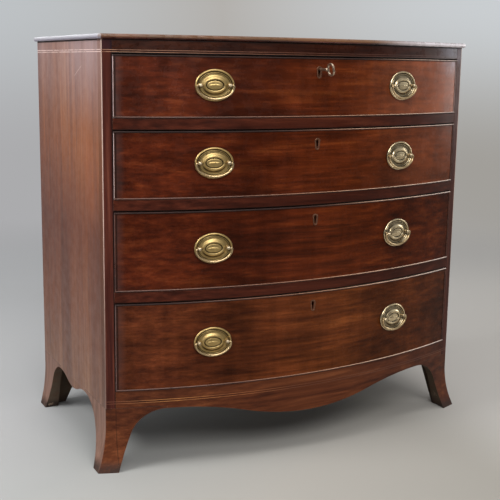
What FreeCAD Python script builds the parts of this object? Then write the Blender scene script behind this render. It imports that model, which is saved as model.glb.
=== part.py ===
import FreeCAD, Part
import math
import os
import types

import Sketcher

# Bow front chest of four long drawers. Millimetres, +Z up, +X to the right, the front faces -Y.
# The origin lies on the floor, in the middle of the ground that the whole chest covers.

SIZES = {
    # carcase
    "carcase_width": 920.0,
    "side_depth": 459.5,
    "bow_rise": 83.5,
    "top_rail_height": 27.9,
    "side_thickness": 20.0,
    "stile_depth": 22.0,
    "top_thickness": 10.0,
    "top_overhang": 7.0,
    "top_back_overhang": 4.0,
    "top_nosing": 4.0,
    "subtop_thickness": 12.0,
    "rebate_depth": 12.0,
    "rebate_width": 12.0,
    "back_board_gap": 1.0,
    "rail_thickness": 23.4,
    "rail_depth": 60.0,
    "dustboard_thickness": 8.0,
    "runner_width": 22.0,
    "bottom_thickness": 18.0,
    "lowest_opening": 175.0,
    "opening_1": 129.6,
    "opening_2": 143.1,
    "opening_3": 171.1,
    "opening_4": 193.1,
    # apron and feet
    "foot_joint_drop": 37.0,
    "apron_thickness": 20.0,
    "apron_drop": 91.0,
    "arch_peak_drop": 5.0,
    "front_bracket_reach": 125.0,
    "front_swell_gap": 10.0,
    "front_arch_radius": 80.0,
    "front_toe": 19.0,
    "side_drop": 113.0,
    "side_peak_drop": 7.0,
    "side_swell_gap": 6.0,
    "side_arch_start": 92.0,
    "side_arch_radius": 74.0,
    "side_toe_front": 21.0,
    "side_toe_rear": 41.0,
    "wing_thickness": 22.0,
    "side_flare": 22.0,
    "rear_flare": 14.0,
    "front_flare": 19.0,
    "flare_height": 105.0,
    "foot_block_width": 15.0,
    "foot_block_floor_gap": 80.0,
    "rear_bracket_thickness": 20.0,
    "rear_bracket_toe": 25.0,
    "rear_bracket_reach": 95.0,
    # drawers
    "drawer_gap": 0.8,
    "drawer_top_gap": 2.2,
    "drawer_side_gap": 1.5,
    "drawer_run_gap": 0.3,
    "drawer_rear_gap": 18.0,
    "front_thickness": 22.0,
    "drawer_side_thickness": 11.0,
    "drawer_side_drop": 5.0,
    "drawer_back_thickness": 10.0,
    "drawer_back_drop": 10.0,
    "drawer_bottom_thickness": 6.0,
    "drawer_bottom_lift": 9.0,
    "groove_depth": 5.0,
    "groove_clearance": 0.15,
    "bead_thickness": 3.2,
    "bead_depth": 12.0,
    "bead_proud": 2.4,
    "stop_width": 32.0,
    "stop_height": 6.0,
    "stop_thickness": 14.0,
    "stop_spread": 300.0,
    "stop_gap": 0.3,
    # locks and key
    "lock_width": 64.0,
    "lock_height": 45.0,
    "lock_depth": 9.4,
    "lock_fit": 0.1,
    "lock_wall": 2.0,
    "keyhole_drop": 25.0,
    "keyhole_length": 14.0,
    "keyhole_head_radius": 6.2,
    "keyhole_foot_radius": 4.4,
    "escutcheon_wall": 1.3,
    "escutcheon_depth": 6.0,
    "escutcheon_proud": 0.5,
    "bolt_width": 16.0,
    "bolt_thickness": 4.0,
    "bolt_height": 14.5,
    "bolt_setback": 1.2,
    "bolt_fit": 0.2,
    "bolt_foot_gap": 1.5,
    "bolt_throw": 8.0,
    "ward_radius": 9.0,
    "drill_pin_radius": 1.4,
    "drill_pin_length": 6.5,
    "pin_fit": 0.06,
    "key_shank_radius": 2.6,
    "key_bit_reach": 8.0,
    "key_bit_length": 5.0,
    "key_bit_thickness": 2.2,
    "key_bore": 9.0,
    "key_tip_gap": 1.0,
    "key_ring_height": 28.0,
    "key_ring_length": 24.0,
    "key_ring_wire": 3.4,
    "key_ring_lean": 9.0,
    "key_reach": 57.0,
    # drop handles
    "handle_spacing": 476.0,
    "handle_lift": 3.9,
    "plate_end": 10.5,
    "plate_height": 66.0,
    "plate_base": 1.0,
    "plate_seat_gap": 0.05,
    "rim_width": 6.5,
    "rim_height": 3.2,
    "ridge_inset": 11.0,
    "ridge_width": 2.2,
    "ridge_height": 2.2,
    "boss_post_gap": 7.5,
    "boss_height": 29.0,
    "boss_wall": 5.0,
    "boss_relief": 4.8,
    "motif_width": 20.0,
    "motif_height": 4.5,
    "motif_relief": 2.4,
    "post_spacing": 63.0,
    "post_radius": 2.3,
    "post_fit": 0.1,
    "post_collar_radius": 4.0,
    "post_collar": 1.6,
    "post_seat_margin": 0.6,
    "ball_radius": 4.3,
    "pivot_height": 7.6,
    "pintle_radius": 1.4,
    "pintle_fit": 0.05,
    "pintle_inset": 2.6,
    "nut_radius": 6.0,
    "nut_thickness": 4.0,
    "nut_seat_gap": 0.6,
    "post_tail": 2.0,
    "bail_run": 0.4,
    "bail_drop": 30.5,
    "bail_radius": 2.3,
    "bail_corner": 2.5,
    "bail_post_gap": 0.3,
    "bail_shoulder": 19.0,
    # how far a cutting tool runs past the wood
    "cut_margin": 10.0,
}
# from the top of the chest down
DRAWERS = ("1", "2", "3", "4")
SWEEP = 120.0

doc = FreeCAD.newDocument("bow_front_chest")
sheet = doc.addObject("Spreadsheet::Sheet", "Sizes")
for row, (alias, number) in enumerate(SIZES.items(), 1):
    sheet.set(f"A{row}", alias)
    sheet.set(f"B{row}", str(number))
    sheet.setAlias(f"B{row}", alias)
doc.recompute()


class Size:
    """A length that carries both its value and the sheet expression that gives it."""

    def __init__(self, value, text=None):
        self.value = float(value)
        self.text = text if text is not None else f"{self.value:.10g}"

    def __add__(self, other):
        other = size(other)
        return Size(self.value + other.value, f"({self.text} + {other.text})")

    def __sub__(self, other):
        other = size(other)
        return Size(self.value - other.value, f"({self.text} - {other.text})")

    def __mul__(self, other):
        other = size(other)
        return Size(self.value * other.value, f"({self.text} * {other.text})")

    def __truediv__(self, other):
        other = size(other)
        return Size(self.value / other.value, f"({self.text} / {other.text})")

    def __radd__(self, other):
        return size(other) + self

    def __rsub__(self, other):
        return size(other) - self

    def __rmul__(self, other):
        return size(other) * self

    def __neg__(self):
        return Size(-self.value, f"(0 - {self.text})")


def size(number):
    """Turn a plain number into a Size, and leave a Size as it is."""
    return number if isinstance(number, Size) else Size(number, f"({float(number):.10g})")


def root(number):
    """Square root of a Size."""
    return Size(math.sqrt(number.value), f"sqrt({number.text})")


d = types.SimpleNamespace(**{name: Size(number, f"Sizes.{name}") for name, number in SIZES.items()})

# ---------------------------------------------------------------- places worked out from the sizes

zero = size(0)
half = d.carcase_width / 2
inner = half - d.side_thickness
bow_radius = (half * half + d.bow_rise * d.bow_rise) / (d.bow_rise * 2)
back = (d.side_depth + d.bow_rise + d.key_reach - d.top_back_overhang) / 2
corner = back - d.side_depth
apex = corner - d.bow_rise
bow_centre = apex + bow_radius
stile_back = corner + d.stile_depth
rail_back = corner + d.rail_depth
back_inner = back - d.rebate_depth
carcase_floor = d.lowest_opening - d.bottom_thickness
lip = half - (d.side_thickness - d.rebate_width)
far = d.carcase_width * 2

openings = {number: getattr(d, f"opening_{number}") for number in DRAWERS}
levels = {}
rail_levels = {}
level = d.lowest_opening
for number in reversed(DRAWERS):
    levels[number] = level
    rail_levels[number] = level + openings[number]
    level = rail_levels[number] + d.rail_thickness
under_top = rail_levels["1"] + d.top_rail_height


def bow_y(x, offset=0):
    """Where the bow, moved out by offset, stands at a distance x from the middle."""
    radius = bow_radius + offset
    return bow_centre - root(radius * radius - x * x)


front_reach = inner - d.drawer_gap
side_outer = inner - d.drawer_side_gap
side_inner = side_outer - d.drawer_side_thickness
drawer_rear = back_inner - d.drawer_rear_gap
lock_rear = apex + d.front_thickness
lock_front = lock_rear - d.lock_depth
bolt_rear = lock_rear - d.lock_wall
bolt_front = bolt_rear - d.bolt_thickness
side_middle = (back + corner) / 2
joint_height = d.lowest_opening - d.foot_joint_drop
arch_peak = joint_height - d.arch_peak_drop
side_peak = joint_height - d.side_peak_drop
front_arch = half - d.front_bracket_reach


# ---------------------------------------------------------------- tools for making pieces

def vector(x, y, z=0.0):
    return FreeCAD.Vector(size(x).value, size(y).value, size(z).value)


def arc(centre_x, centre_y, radius, turn):
    """Describe a round edge: turn is 1 where it runs anticlockwise and -1 where clockwise."""
    return (size(centre_x), size(centre_y), size(radius), turn)


def edge_between(start, end, curve):
    """Make one edge of an outline, and say which of its ends is the start."""
    if curve is None:
        return Part.LineSegment(vector(*start), vector(*end)), 1, 2
    centre_x, centre_y, radius, turn = curve
    first, last = (start, end) if turn > 0 else (end, start)
    angles = []
    for x, y in (first, last):
        angles.append(math.atan2(size(y).value - centre_y.value, size(x).value - centre_x.value))
    if angles[1] <= angles[0]:
        angles[1] += 2 * math.pi
    circle = Part.Circle(vector(centre_x, centre_y), FreeCAD.Vector(0, 0, 1), radius.value)
    ends = (1, 2) if turn > 0 else (2, 1)
    return Part.ArcOfCircle(circle, angles[0], angles[1]), *ends


def centre_rule(start, end, curve):
    """An arc between two fixed ends is fixed by its centre's place across the line between them."""
    across = abs(size(end[0]).value - size(start[0]).value)
    up = abs(size(end[1]).value - size(start[1]).value)
    return ("DistanceY", curve[1]) if across >= up else ("DistanceX", curve[0])


def bind(drawing, rules, bound):
    """Add rules to a sketch and tie those that are named to the sheet."""
    before = drawing.ConstraintCount
    drawing.addConstraint(rules)
    for position, name, place in bound:
        drawing.renameConstraint(before + position, name)
        drawing.setExpression(f"Constraints.{name}", place.text)


class Round:
    """A full circle in a sketch."""

    def __init__(self, x, y, radius):
        self.x = size(x)
        self.y = size(y)
        self.radius = size(radius)


def draw_round(drawing, index, outline):
    circle = Part.Circle(vector(outline.x, outline.y), FreeCAD.Vector(0, 0, 1), outline.radius.value)
    drawing.addGeometry(circle, False)
    rules = [
        Sketcher.Constraint("DistanceX", -1, 1, index, 3, outline.x.value),
        Sketcher.Constraint("DistanceY", -1, 1, index, 3, outline.y.value),
        Sketcher.Constraint("Radius", index, outline.radius.value),
    ]
    bind(drawing, rules, [(0, f"CentreX_{index}", outline.x), (1, f"CentreY_{index}", outline.y),
                          (2, f"Radius_{index}", outline.radius)])


def draw(drawing, outlines):
    """Draw closed outlines of lines and arcs, with every corner tied to the sheet."""
    for outline in outlines:
        first = drawing.GeometryCount
        if isinstance(outline, Round):
            draw_round(drawing, first, outline)
            continue
        corners = [(point[0], point[1]) for point in outline]
        curves = [point[2] if len(point) > 2 else None for point in outline]
        count = len(outline)
        ends = []
        for index in range(count):
            edge, start, end = edge_between(corners[index], corners[(index + 1) % count], curves[index])
            drawing.addGeometry(edge, False)
            ends.append((start, end))
        rules = []
        for index in range(count):
            after = (index + 1) % count
            rules.append(Sketcher.Constraint(
                "Coincident", first + index, ends[index][1], first + after, ends[after][0]))
        bound = []
        for index, (x, y) in enumerate(corners):
            for kind, place in (("DistanceX", size(x)), ("DistanceY", size(y))):
                bound.append((len(rules), f"{kind}_{first + index}", place))
                rules.append(Sketcher.Constraint(kind, -1, 1, first + index, ends[index][0], place.value))
        for index, curve in enumerate(curves):
            if curve is not None:
                kind, place = centre_rule(corners[index], corners[(index + 1) % count], curve)
                bound.append((len(rules), f"Centre_{first + index}", place))
                rules.append(Sketcher.Constraint(kind, -1, 1, first + index, 3, place.value))
        bind(drawing, rules, bound)


def part_body(name):
    item = doc.addObject("PartDesign::Body", name)
    item.Label = name
    return item


def sketch(item, plane, outlines, offset=None):
    """Put a sketch on one of the body's own planes, moved along its normal by offset."""
    drawing = item.newObject("Sketcher::SketchObject", f"{item.Name}_sketch")
    planes = {feature.Role: feature for feature in item.Origin.OriginFeatures}
    drawing.AttachmentSupport = (planes[plane], "")
    drawing.MapMode = "FlatFace"
    if offset is not None:
        drawing.setExpression("AttachmentOffset.Base.z", size(offset).text)
    draw(drawing, outlines)
    return drawing


def pad(item, plane, outlines, length, offset=None, reverse=False):
    """Add a straight solid. Plane XZ grows towards -Y, unless reversed."""
    feature = item.newObject("PartDesign::Pad", f"{item.Name}_pad")
    feature.Profile = sketch(item, plane, outlines, offset)
    feature.setExpression("Length", size(length).text)
    feature.Reversed = reverse
    item.Tip = feature
    return feature


def pocket(item, plane, outlines, length, offset=None, reverse=False, both_ways=False):
    """Cut a straight hollow against the plane's normal, along it if reversed, or both ways."""
    feature = item.newObject("PartDesign::Pocket", f"{item.Name}_pocket")
    feature.Profile = sketch(item, plane, outlines, offset)
    feature.setExpression("Length", size(length).text)
    feature.Reversed = reverse
    if both_ways:
        feature.SideType = "Symmetric"
    item.Tip = feature
    return feature


def spin(item, plane, outlines, angle=360.0):
    """Turn outlines about the sketch's upright axis, half the angle to each side."""
    feature = item.newObject("PartDesign::Revolution", f"{item.Name}_spin")
    drawing = sketch(item, plane, outlines)
    feature.Profile = drawing
    feature.ReferenceAxis = (drawing, ["V_Axis"])
    feature.Angle = angle
    feature.Midplane = angle < 360.0
    item.Tip = feature
    return feature


def place(item, x=0, y=0, z=0, yaw=0, pitch=0, roll=0):
    """Set where an object stands, turned by roll about X, then pitch about Y, then yaw about Z."""
    spot = f"create(<<vector>>; {size(x).text}; {size(y).text}; {size(z).text})"
    turn = f"create(<<rotation>>; {size(yaw).text}; {size(pitch).text}; {size(roll).text})"
    item.setExpression("Placement", f"create(<<placement>>; {spot}; {turn})")
    return item


def block(name, x, y, z):
    """A plain board between two places along each of X, Y and Z."""
    item = doc.addObject("Part::Box", name)
    for side, (low, high) in zip(("Length", "Width", "Height"), (x, y, z)):
        item.setExpression(side, (size(high) - size(low)).text)
    return place(item, x[0], y[0], z[0])


def mirrored(name, source):
    item = doc.addObject("Part::Mirroring", name)
    item.Source = source
    item.Normal = FreeCAD.Vector(1, 0, 0)
    return item


def group(name, members):
    """Hold separate solids in one node."""
    item = doc.addObject("Part::Compound", name)
    item.Links = members
    return item


def rectangle(left, right, low, high):
    return [(left, low), (right, low), (right, high), (left, high)]


def shell(reach, outside, inside):
    """Plan of a board that follows the bow on both faces, between -reach and +reach."""
    return [
        (-reach, bow_y(reach, outside), arc(0, bow_centre, bow_radius + outside, 1)),
        (reach, bow_y(reach, outside)),
        (reach, bow_y(reach, inside), arc(0, bow_centre, bow_radius + inside, -1)),
        (-reach, bow_y(reach, inside)),
    ]


def bowed(reach, outside, rear):
    """Plan of a board with a bowed front and a straight back."""
    return [
        (-reach, bow_y(reach, outside), arc(0, bow_centre, bow_radius + outside, 1)),
        (reach, bow_y(reach, outside)),
        (reach, rear),
        (-reach, rear),
    ]


NODES = {}


def keep(node, item):
    """Register an object as a sub-part under its own name."""
    item.Label = node
    NODES[node] = item
    return item


# ---------------------------------------------------------------- carcase

def make_top():
    top = part_body("top_board")
    plan = bowed(half + d.top_overhang, d.top_overhang, back + d.top_back_overhang)
    board = pad(top, "XY_Plane", [plan], d.top_thickness)
    place(top, z=under_top)
    doc.recompute()
    rear = back.value + d.top_back_overhang.value
    nosed = []
    for index, edge in enumerate(board.Shape.Edges, 1):
        box = edge.BoundBox
        level = box.ZLength < 0.01
        at_rear = box.YMin > rear - 0.01
        if level and not at_rear:
            nosed.append(f"Edge{index}")
    nosing = top.newObject("PartDesign::Fillet", "top_nosing")
    nosing.Base = (board, nosed)
    nosing.setExpression("Radius", d.top_nosing.text)
    top.Tip = nosing
    keep("top_board", top)
    subtop = block("carcase_top", (-inner, inner), (rail_back, back_inner),
                   (under_top - d.subtop_thickness, under_top))
    keep("carcase_top", subtop)


def make_sides():
    side = part_body("side_left")
    plan = [
        (-half, stile_back),
        (-inner, stile_back),
        (-inner, back_inner),
        (-lip, back_inner),
        (-lip, back),
        (-half, back),
    ]
    pad(side, "XY_Plane", [plan], under_top - joint_height)
    place(side, z=joint_height)
    keep("side_left", side)
    keep("side_right", mirrored("side_right", side))
    boards = []
    board_height = (under_top - carcase_floor) / 3
    for index in range(3):
        low = carcase_floor + board_height * index
        boards.append(block(f"back_board_{index + 1}", (-lip, lip), (back_inner, back),
                            (low, low + board_height - d.back_board_gap)))
    keep("back_boards", group("back_boards", boards))
    stile = part_body("stile")
    front = [
        (-half, corner, arc(0, bow_centre, bow_radius, 1)),
        (-inner, bow_y(inner)),
        (-inner, stile_back),
        (-half, stile_back),
    ]
    pad(stile, "XY_Plane", [front], under_top - joint_height)
    place(stile, z=joint_height)
    keep("front_stiles", group("front_stiles", [stile, mirrored("stile_right", stile)]))


def bowed_rail(name, low, height):
    """A rail above a drawer, with the mortise that the drawer's bolt shoots into."""
    rail = part_body(name)
    pad(rail, "XY_Plane", [bowed(inner, 0, rail_back)], height)
    reach = d.bolt_width / 2 + d.bolt_fit * 2
    mortise = rectangle(-reach, reach, bolt_front - d.bolt_fit * 2, bolt_rear + d.bolt_fit * 2)
    pocket(rail, "XY_Plane", [mortise], d.bolt_throw - d.bolt_setback, reverse=True)
    return place(rail, z=low)


def make_frame():
    top_rail = bowed_rail("top_rail", rail_levels["1"], d.top_rail_height)
    keep("top_rail", top_rail)
    rails = []
    dustboards = []
    runners = []
    for number in DRAWERS[1:]:
        low = rail_levels[number]
        high = low + d.rail_thickness
        rails.append(bowed_rail(f"rail_{number}", low, d.rail_thickness))
        middle = low + d.rail_thickness / 2
        dustboards.append(block(
            f"dustboard_{number}", (-inner + d.runner_width, inner - d.runner_width), (rail_back, back_inner),
            (middle - d.dustboard_thickness / 2, middle + d.dustboard_thickness / 2)))
        runner = block(f"runner_{number}", (-inner, -inner + d.runner_width), (rail_back, back_inner),
                       (low, high))
        runners += [runner, mirrored(f"runner_right_{number}", runner)]
    kicker = block("kicker", (-inner, -inner + d.runner_width), (rail_back, back_inner),
                   (rail_levels["1"], under_top - d.subtop_thickness))
    runners += [kicker, mirrored("kicker_right", kicker)]
    keep("drawer_rails", group("drawer_rails", rails))
    keep("dustboards", group("dustboards", dustboards))
    keep("drawer_runners", group("drawer_runners", runners))
    bottom = part_body("carcase_bottom")
    pad(bottom, "XY_Plane", [bowed(inner, -d.apron_thickness, back_inner)], d.bottom_thickness)
    place(bottom, z=carcase_floor)
    keep("carcase_bottom", bottom)


def make_stops():
    """Two stops for each drawer, set behind the foot of its front."""
    stops = []
    for number in DRAWERS:
        near = d.stop_spread / 2
        far_end = near + d.stop_width
        face = bow_y(far_end, -d.front_thickness) + d.stop_gap
        stop = block(f"stop_{number}", (near, far_end), (face, face + d.stop_thickness),
                     (levels[number], levels[number] + d.stop_height))
        stops += [stop, mirrored(f"stop_left_{number}", stop)]
    keep("drawer_stops", group("drawer_stops", stops))


# ---------------------------------------------------------------- apron and feet

def swell_radius(reach, rise):
    """Radius of the two equal arcs that make one S-curve."""
    return ((reach / 2) * (reach / 2) + (rise / 2) * (rise / 2)) / rise


def swell(middle, reach, low, high):
    """Lower edge that hangs to low at the middle and rises in an S-curve to high on both sides."""
    radius = swell_radius(reach, high - low)
    turn = low + (high - low) / 2
    return [
        (middle - reach, high, arc(middle - reach, high - radius, radius, -1)),
        (middle - reach / 2, turn, arc(middle, low + radius, radius, 1)),
        (middle + reach / 2, turn, arc(middle + reach, high - radius, radius, -1)),
        (middle + reach, high),
    ]


def make_aprons():
    apron = part_body("front_apron")
    pad(apron, "XY_Plane", [shell(inner, 0, -d.apron_thickness)], d.lowest_opening)
    outside = inner + d.cut_margin
    below = [
        (outside, joint_height),
        (outside, -d.cut_margin),
        (-outside, -d.cut_margin),
        (-outside, joint_height),
        (-front_arch, joint_height),
        (-front_arch, arch_peak),
    ]
    below += swell(zero, front_arch - d.front_swell_gap, d.apron_drop, arch_peak)
    below += [(front_arch, arch_peak), (front_arch, joint_height)]
    pocket(apron, "XZ_Plane", [below], far, both_ways=True)
    keep("front_apron", apron)
    side = part_body("side_apron")
    edge = [
        (side_middle + d.side_arch_start, side_peak),
        (side_middle + d.side_arch_start, joint_height),
        (side_middle - d.side_arch_start, joint_height),
        (side_middle - d.side_arch_start, side_peak),
    ]
    edge += swell(side_middle, d.side_arch_start - d.side_swell_gap, d.side_drop, side_peak)
    pad(side, "YZ_Plane", [edge], d.side_thickness, offset=-half)
    keep("side_aprons", group("side_aprons", [side, mirrored("side_apron_right", side)]))


def flare_radius(flare):
    """Radius of the hollow curve that throws a foot out by flare at the floor."""
    return (d.flare_height * d.flare_height + flare * flare) / (flare * 2)


def tangent_point(start, toe, radius, peak):
    """Where a line from the toe at the floor meets the arch, which starts level at (start, peak)."""
    across = toe - start
    down = peak - radius
    square = across * across + down * down
    along = radius * radius / square
    aside = radius * root(square - radius * radius) / square
    return start + across * along + down * aside, down - down * along + across * aside


def arch_hollow(start, toe, radius, peak, sign):
    """The space beside a foot, below its arch; sign is the way that the foot lies from the arch."""
    away = -far * sign
    above = joint_height + d.cut_margin
    centre = peak - radius
    meet_x, meet_z = tangent_point(zero, (toe - start) * sign, radius, peak)
    turn = 1 if sign < 0 else -1
    outline = [
        (start, above),
        (start, peak, arc(start, centre, radius, turn)),
        (start + meet_x * sign, meet_z),
        (toe, zero),
        (toe, -d.cut_margin),
        (away, -d.cut_margin),
        (away, above),
    ]
    return outline


def mitre_point(x):
    """A point on the vertical plane where the front and side wings of a left foot meet."""
    floor_y = bow_y(half + d.side_flare, d.front_flare)
    slope = (corner - floor_y) / d.side_flare
    return x, corner + slope * (x + half)


def flared_side(name, y_low, y_high, flare):
    """A side wing, thrown out by flare at the floor, between two places along Y."""
    wing = part_body(name)
    radius = flare_radius(flare)
    section = [
        (-inner, joint_height),
        (-half, joint_height),
        (-half, d.flare_height, arc(-half - radius, d.flare_height, radius, -1)),
        (-half - flare, zero),
        (-inner, zero),
    ]
    pad(wing, "XZ_Plane", [section], y_high - y_low, offset=-y_high)
    return wing


def make_front_feet():
    front = part_body("foot_front_wing")
    radius = flare_radius(d.front_flare)
    section = [
        (d.wing_thickness - bow_radius, zero),
        (d.wing_thickness - bow_radius, joint_height),
        (-bow_radius, joint_height),
        (-bow_radius, d.flare_height, arc(-bow_radius - radius, d.flare_height, radius, -1)),
        (-bow_radius - d.front_flare, zero),
    ]
    spin(front, "YZ_Plane", [section], SWEEP)
    inside = mitre_point(-inner)
    outside = mitre_point(-half - far)
    behind = [
        (inside[0], inside[1] - bow_centre),
        (inside[0], far),
        (outside[0], far),
        (outside[0], outside[1] - bow_centre),
    ]
    pocket(front, "XY_Plane", [behind], far, both_ways=True)
    outline = arch_hollow(-front_arch, d.front_toe - half, d.front_arch_radius, arch_peak, -1)
    pocket(front, "XZ_Plane", [outline], far * 2, both_ways=True)
    place(front, y=bow_centre)

    start = side_middle - d.side_arch_start
    tip = bow_y(half + d.side_flare, d.front_flare) - d.cut_margin
    side = flared_side("foot_front_side_wing", tip, start, d.side_flare)
    ahead = [
        inside,
        outside,
        (outside[0], -far * 2),
        (inside[0] + d.cut_margin, -far * 2),
        (inside[0] + d.cut_margin, inside[1]),
    ]
    pocket(side, "XY_Plane", [ahead], far, both_ways=True)
    outline = arch_hollow(start, corner + d.side_toe_front, d.side_arch_radius, side_peak, -1)
    pocket(side, "YZ_Plane", [outline], far, both_ways=True)
    glue_block = part_body("foot_front_block")
    seat = bow_y(inner, -d.wing_thickness)
    near = inner - d.foot_block_width
    plan = [
        (-inner, seat, arc(0, bow_centre, bow_radius - d.wing_thickness, 1)),
        (-near, bow_y(near, -d.wing_thickness)),
        (-near, seat + d.foot_block_width),
        (-inner, seat + d.foot_block_width),
    ]
    pad(glue_block, "XY_Plane", [plan], carcase_floor - d.foot_block_floor_gap)
    place(glue_block, z=d.foot_block_floor_gap)
    left = group("foot_front_left", [front, side, glue_block])
    keep("foot_front_left", left)
    keep("foot_front_right", mirrored("foot_front_right", left))


def make_rear_feet():
    start = side_middle + d.side_arch_start
    side = flared_side("foot_rear_side_wing", start, back, d.rear_flare)
    outline = arch_hollow(start, back - d.side_toe_rear, d.side_arch_radius, side_peak, 1)
    pocket(side, "YZ_Plane", [outline], far, both_ways=True)
    bracket = part_body("foot_rear_bracket")
    edge = [
        (-inner, zero),
        (-inner + d.rear_bracket_toe, zero),
        (-inner + d.rear_bracket_reach, joint_height),
        (-inner + d.rear_bracket_reach, carcase_floor),
        (-inner, carcase_floor),
    ]
    pad(bracket, "XZ_Plane", [edge], d.rear_bracket_thickness, offset=-back)
    rear = back - d.rear_bracket_thickness
    glue_block = block("foot_rear_block", (-inner, -inner + d.foot_block_width),
                       (rear - d.foot_block_width, rear), (d.foot_block_floor_gap, carcase_floor))
    left = group("foot_rear_left", [side, bracket, glue_block])
    keep("foot_rear_left", left)
    keep("foot_rear_right", mirrored("foot_rear_right", left))


# ---------------------------------------------------------------- drawers

def keyhole(x, z, growth=0):
    """Outline of a keyhole: a round head and a round foot joined by tangent lines."""
    head = d.keyhole_head_radius + growth
    foot = d.keyhole_foot_radius + growth
    lean = (head - foot) / d.keyhole_length
    spread = root(1 - lean * lean)
    low = z - d.keyhole_length
    return [
        (x + head * spread, z - head * lean, arc(x, z, head, 1)),
        (x - head * spread, z - head * lean),
        (x - foot * spread, low - foot * lean, arc(x, low, foot, 1)),
        (x + foot * spread, low - foot * lean),
    ]


def handle_spot(sign):
    """Middle of a handle on the bow: x, y and the way that it faces, in degrees."""
    x = d.handle_spacing / 2 * sign
    facing = Size(math.degrees(math.asin(x.value / bow_radius.value)), f"asin({(x / bow_radius).text})")
    return x, bow_y(x), facing


def along_handle(sign, sideways, outwards):
    """A place beside a handle's middle, measured along its width and straight out of the bow."""
    x, y, facing = handle_spot(sign)
    sine = x / bow_radius
    cosine = root(1 - sine * sine)
    return x + sideways * cosine + outwards * sine, y + sideways * sine - outwards * cosine, facing


def make_drawer_front(number, low, high, box_low, handle_z, key_z):
    front = part_body(f"drawer_{number}_front_board")
    height = high - low
    pad(front, "XY_Plane", [shell(front_reach, -d.bead_depth, -d.front_thickness)], height)
    pad(front, "XY_Plane", [shell(front_reach - d.bead_thickness, 0, -d.bead_depth)],
        height - d.bead_thickness * 2, offset=d.bead_thickness)
    slack = d.groove_clearance
    groove_rear = -d.front_thickness - d.cut_margin
    groove = shell(side_inner + d.groove_depth, d.groove_depth - d.front_thickness, groove_rear)
    groove_low = box_low - low + d.drawer_bottom_lift - slack
    groove_height = d.drawer_bottom_thickness + slack * 2
    pocket(front, "XY_Plane", [groove], groove_height, offset=groove_low, reverse=True)
    reach = d.lock_width / 2 + d.lock_fit
    mortise = rectangle(-reach, reach, lock_front - d.lock_fit, lock_rear + d.cut_margin)
    pocket(front, "XY_Plane", [mortise], d.lock_height + d.lock_fit, offset=height)
    hole = keyhole(zero, key_z - low, d.lock_fit)
    pocket(front, "XZ_Plane", [hole], d.front_thickness + d.cut_margin, offset=-lock_rear, reverse=True)
    place(front, z=low)
    holes = []
    for sign in (-1, 1):
        for side in (-1, 1):
            x, y, facing = along_handle(sign, d.post_spacing / 2 * side, d.cut_margin)
            drill = doc.addObject("Part::Cylinder", f"drawer_{number}_post_drill")
            drill.setExpression("Radius", (d.post_radius + d.post_fit).text)
            drill.setExpression("Height", (d.front_thickness + d.cut_margin * 2).text)
            place(drill, x, y, handle_z, yaw=facing, roll=size(-90))
            holes.append(drill)
    bored = doc.addObject("Part::Cut", f"drawer_{number}_front")
    bored.Base = front
    bored.Tool = group(f"drawer_{number}_post_drills", holes)
    keep(f"drawer_{number}_front", bored)


def make_drawer_box(number, low, high):
    height = high - low - d.drawer_side_drop
    board = part_body(f"drawer_{number}_side")
    run = bow_y(side_outer, -d.front_thickness)
    plan = [
        (-side_outer, run, arc(0, bow_centre, bow_radius - d.front_thickness, 1)),
        (-side_inner, bow_y(side_inner, -d.front_thickness)),
        (-side_inner, drawer_rear),
        (-side_outer, drawer_rear),
    ]
    pad(board, "XY_Plane", [plan], height)
    slack = d.groove_clearance
    groove_low = d.drawer_bottom_lift - slack
    groove = rectangle(-side_inner - d.groove_depth, -side_inner + d.cut_margin,
                       groove_low, groove_low + d.drawer_bottom_thickness + slack * 2)
    pocket(board, "XZ_Plane", [groove], far, both_ways=True)
    place(board, z=low)
    sides = group(f"drawer_{number}_sides", [board, mirrored(f"drawer_{number}_side_right", board)])
    keep(f"drawer_{number}_sides", sides)
    bottom = part_body(f"drawer_{number}_bottom")
    plan = bowed(side_inner + d.groove_depth - slack, d.groove_depth - d.front_thickness - slack, drawer_rear)
    pad(bottom, "XY_Plane", [plan], d.drawer_bottom_thickness)
    bottom_low = low + d.drawer_bottom_lift
    place(bottom, z=bottom_low)
    keep(f"drawer_{number}_bottom", bottom)
    rear = block(f"drawer_{number}_back", (-side_inner, side_inner),
                 (drawer_rear - d.drawer_back_thickness, drawer_rear),
                 (bottom_low + d.drawer_bottom_thickness, low + height - d.drawer_back_drop))
    keep(f"drawer_{number}_back", rear)


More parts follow.
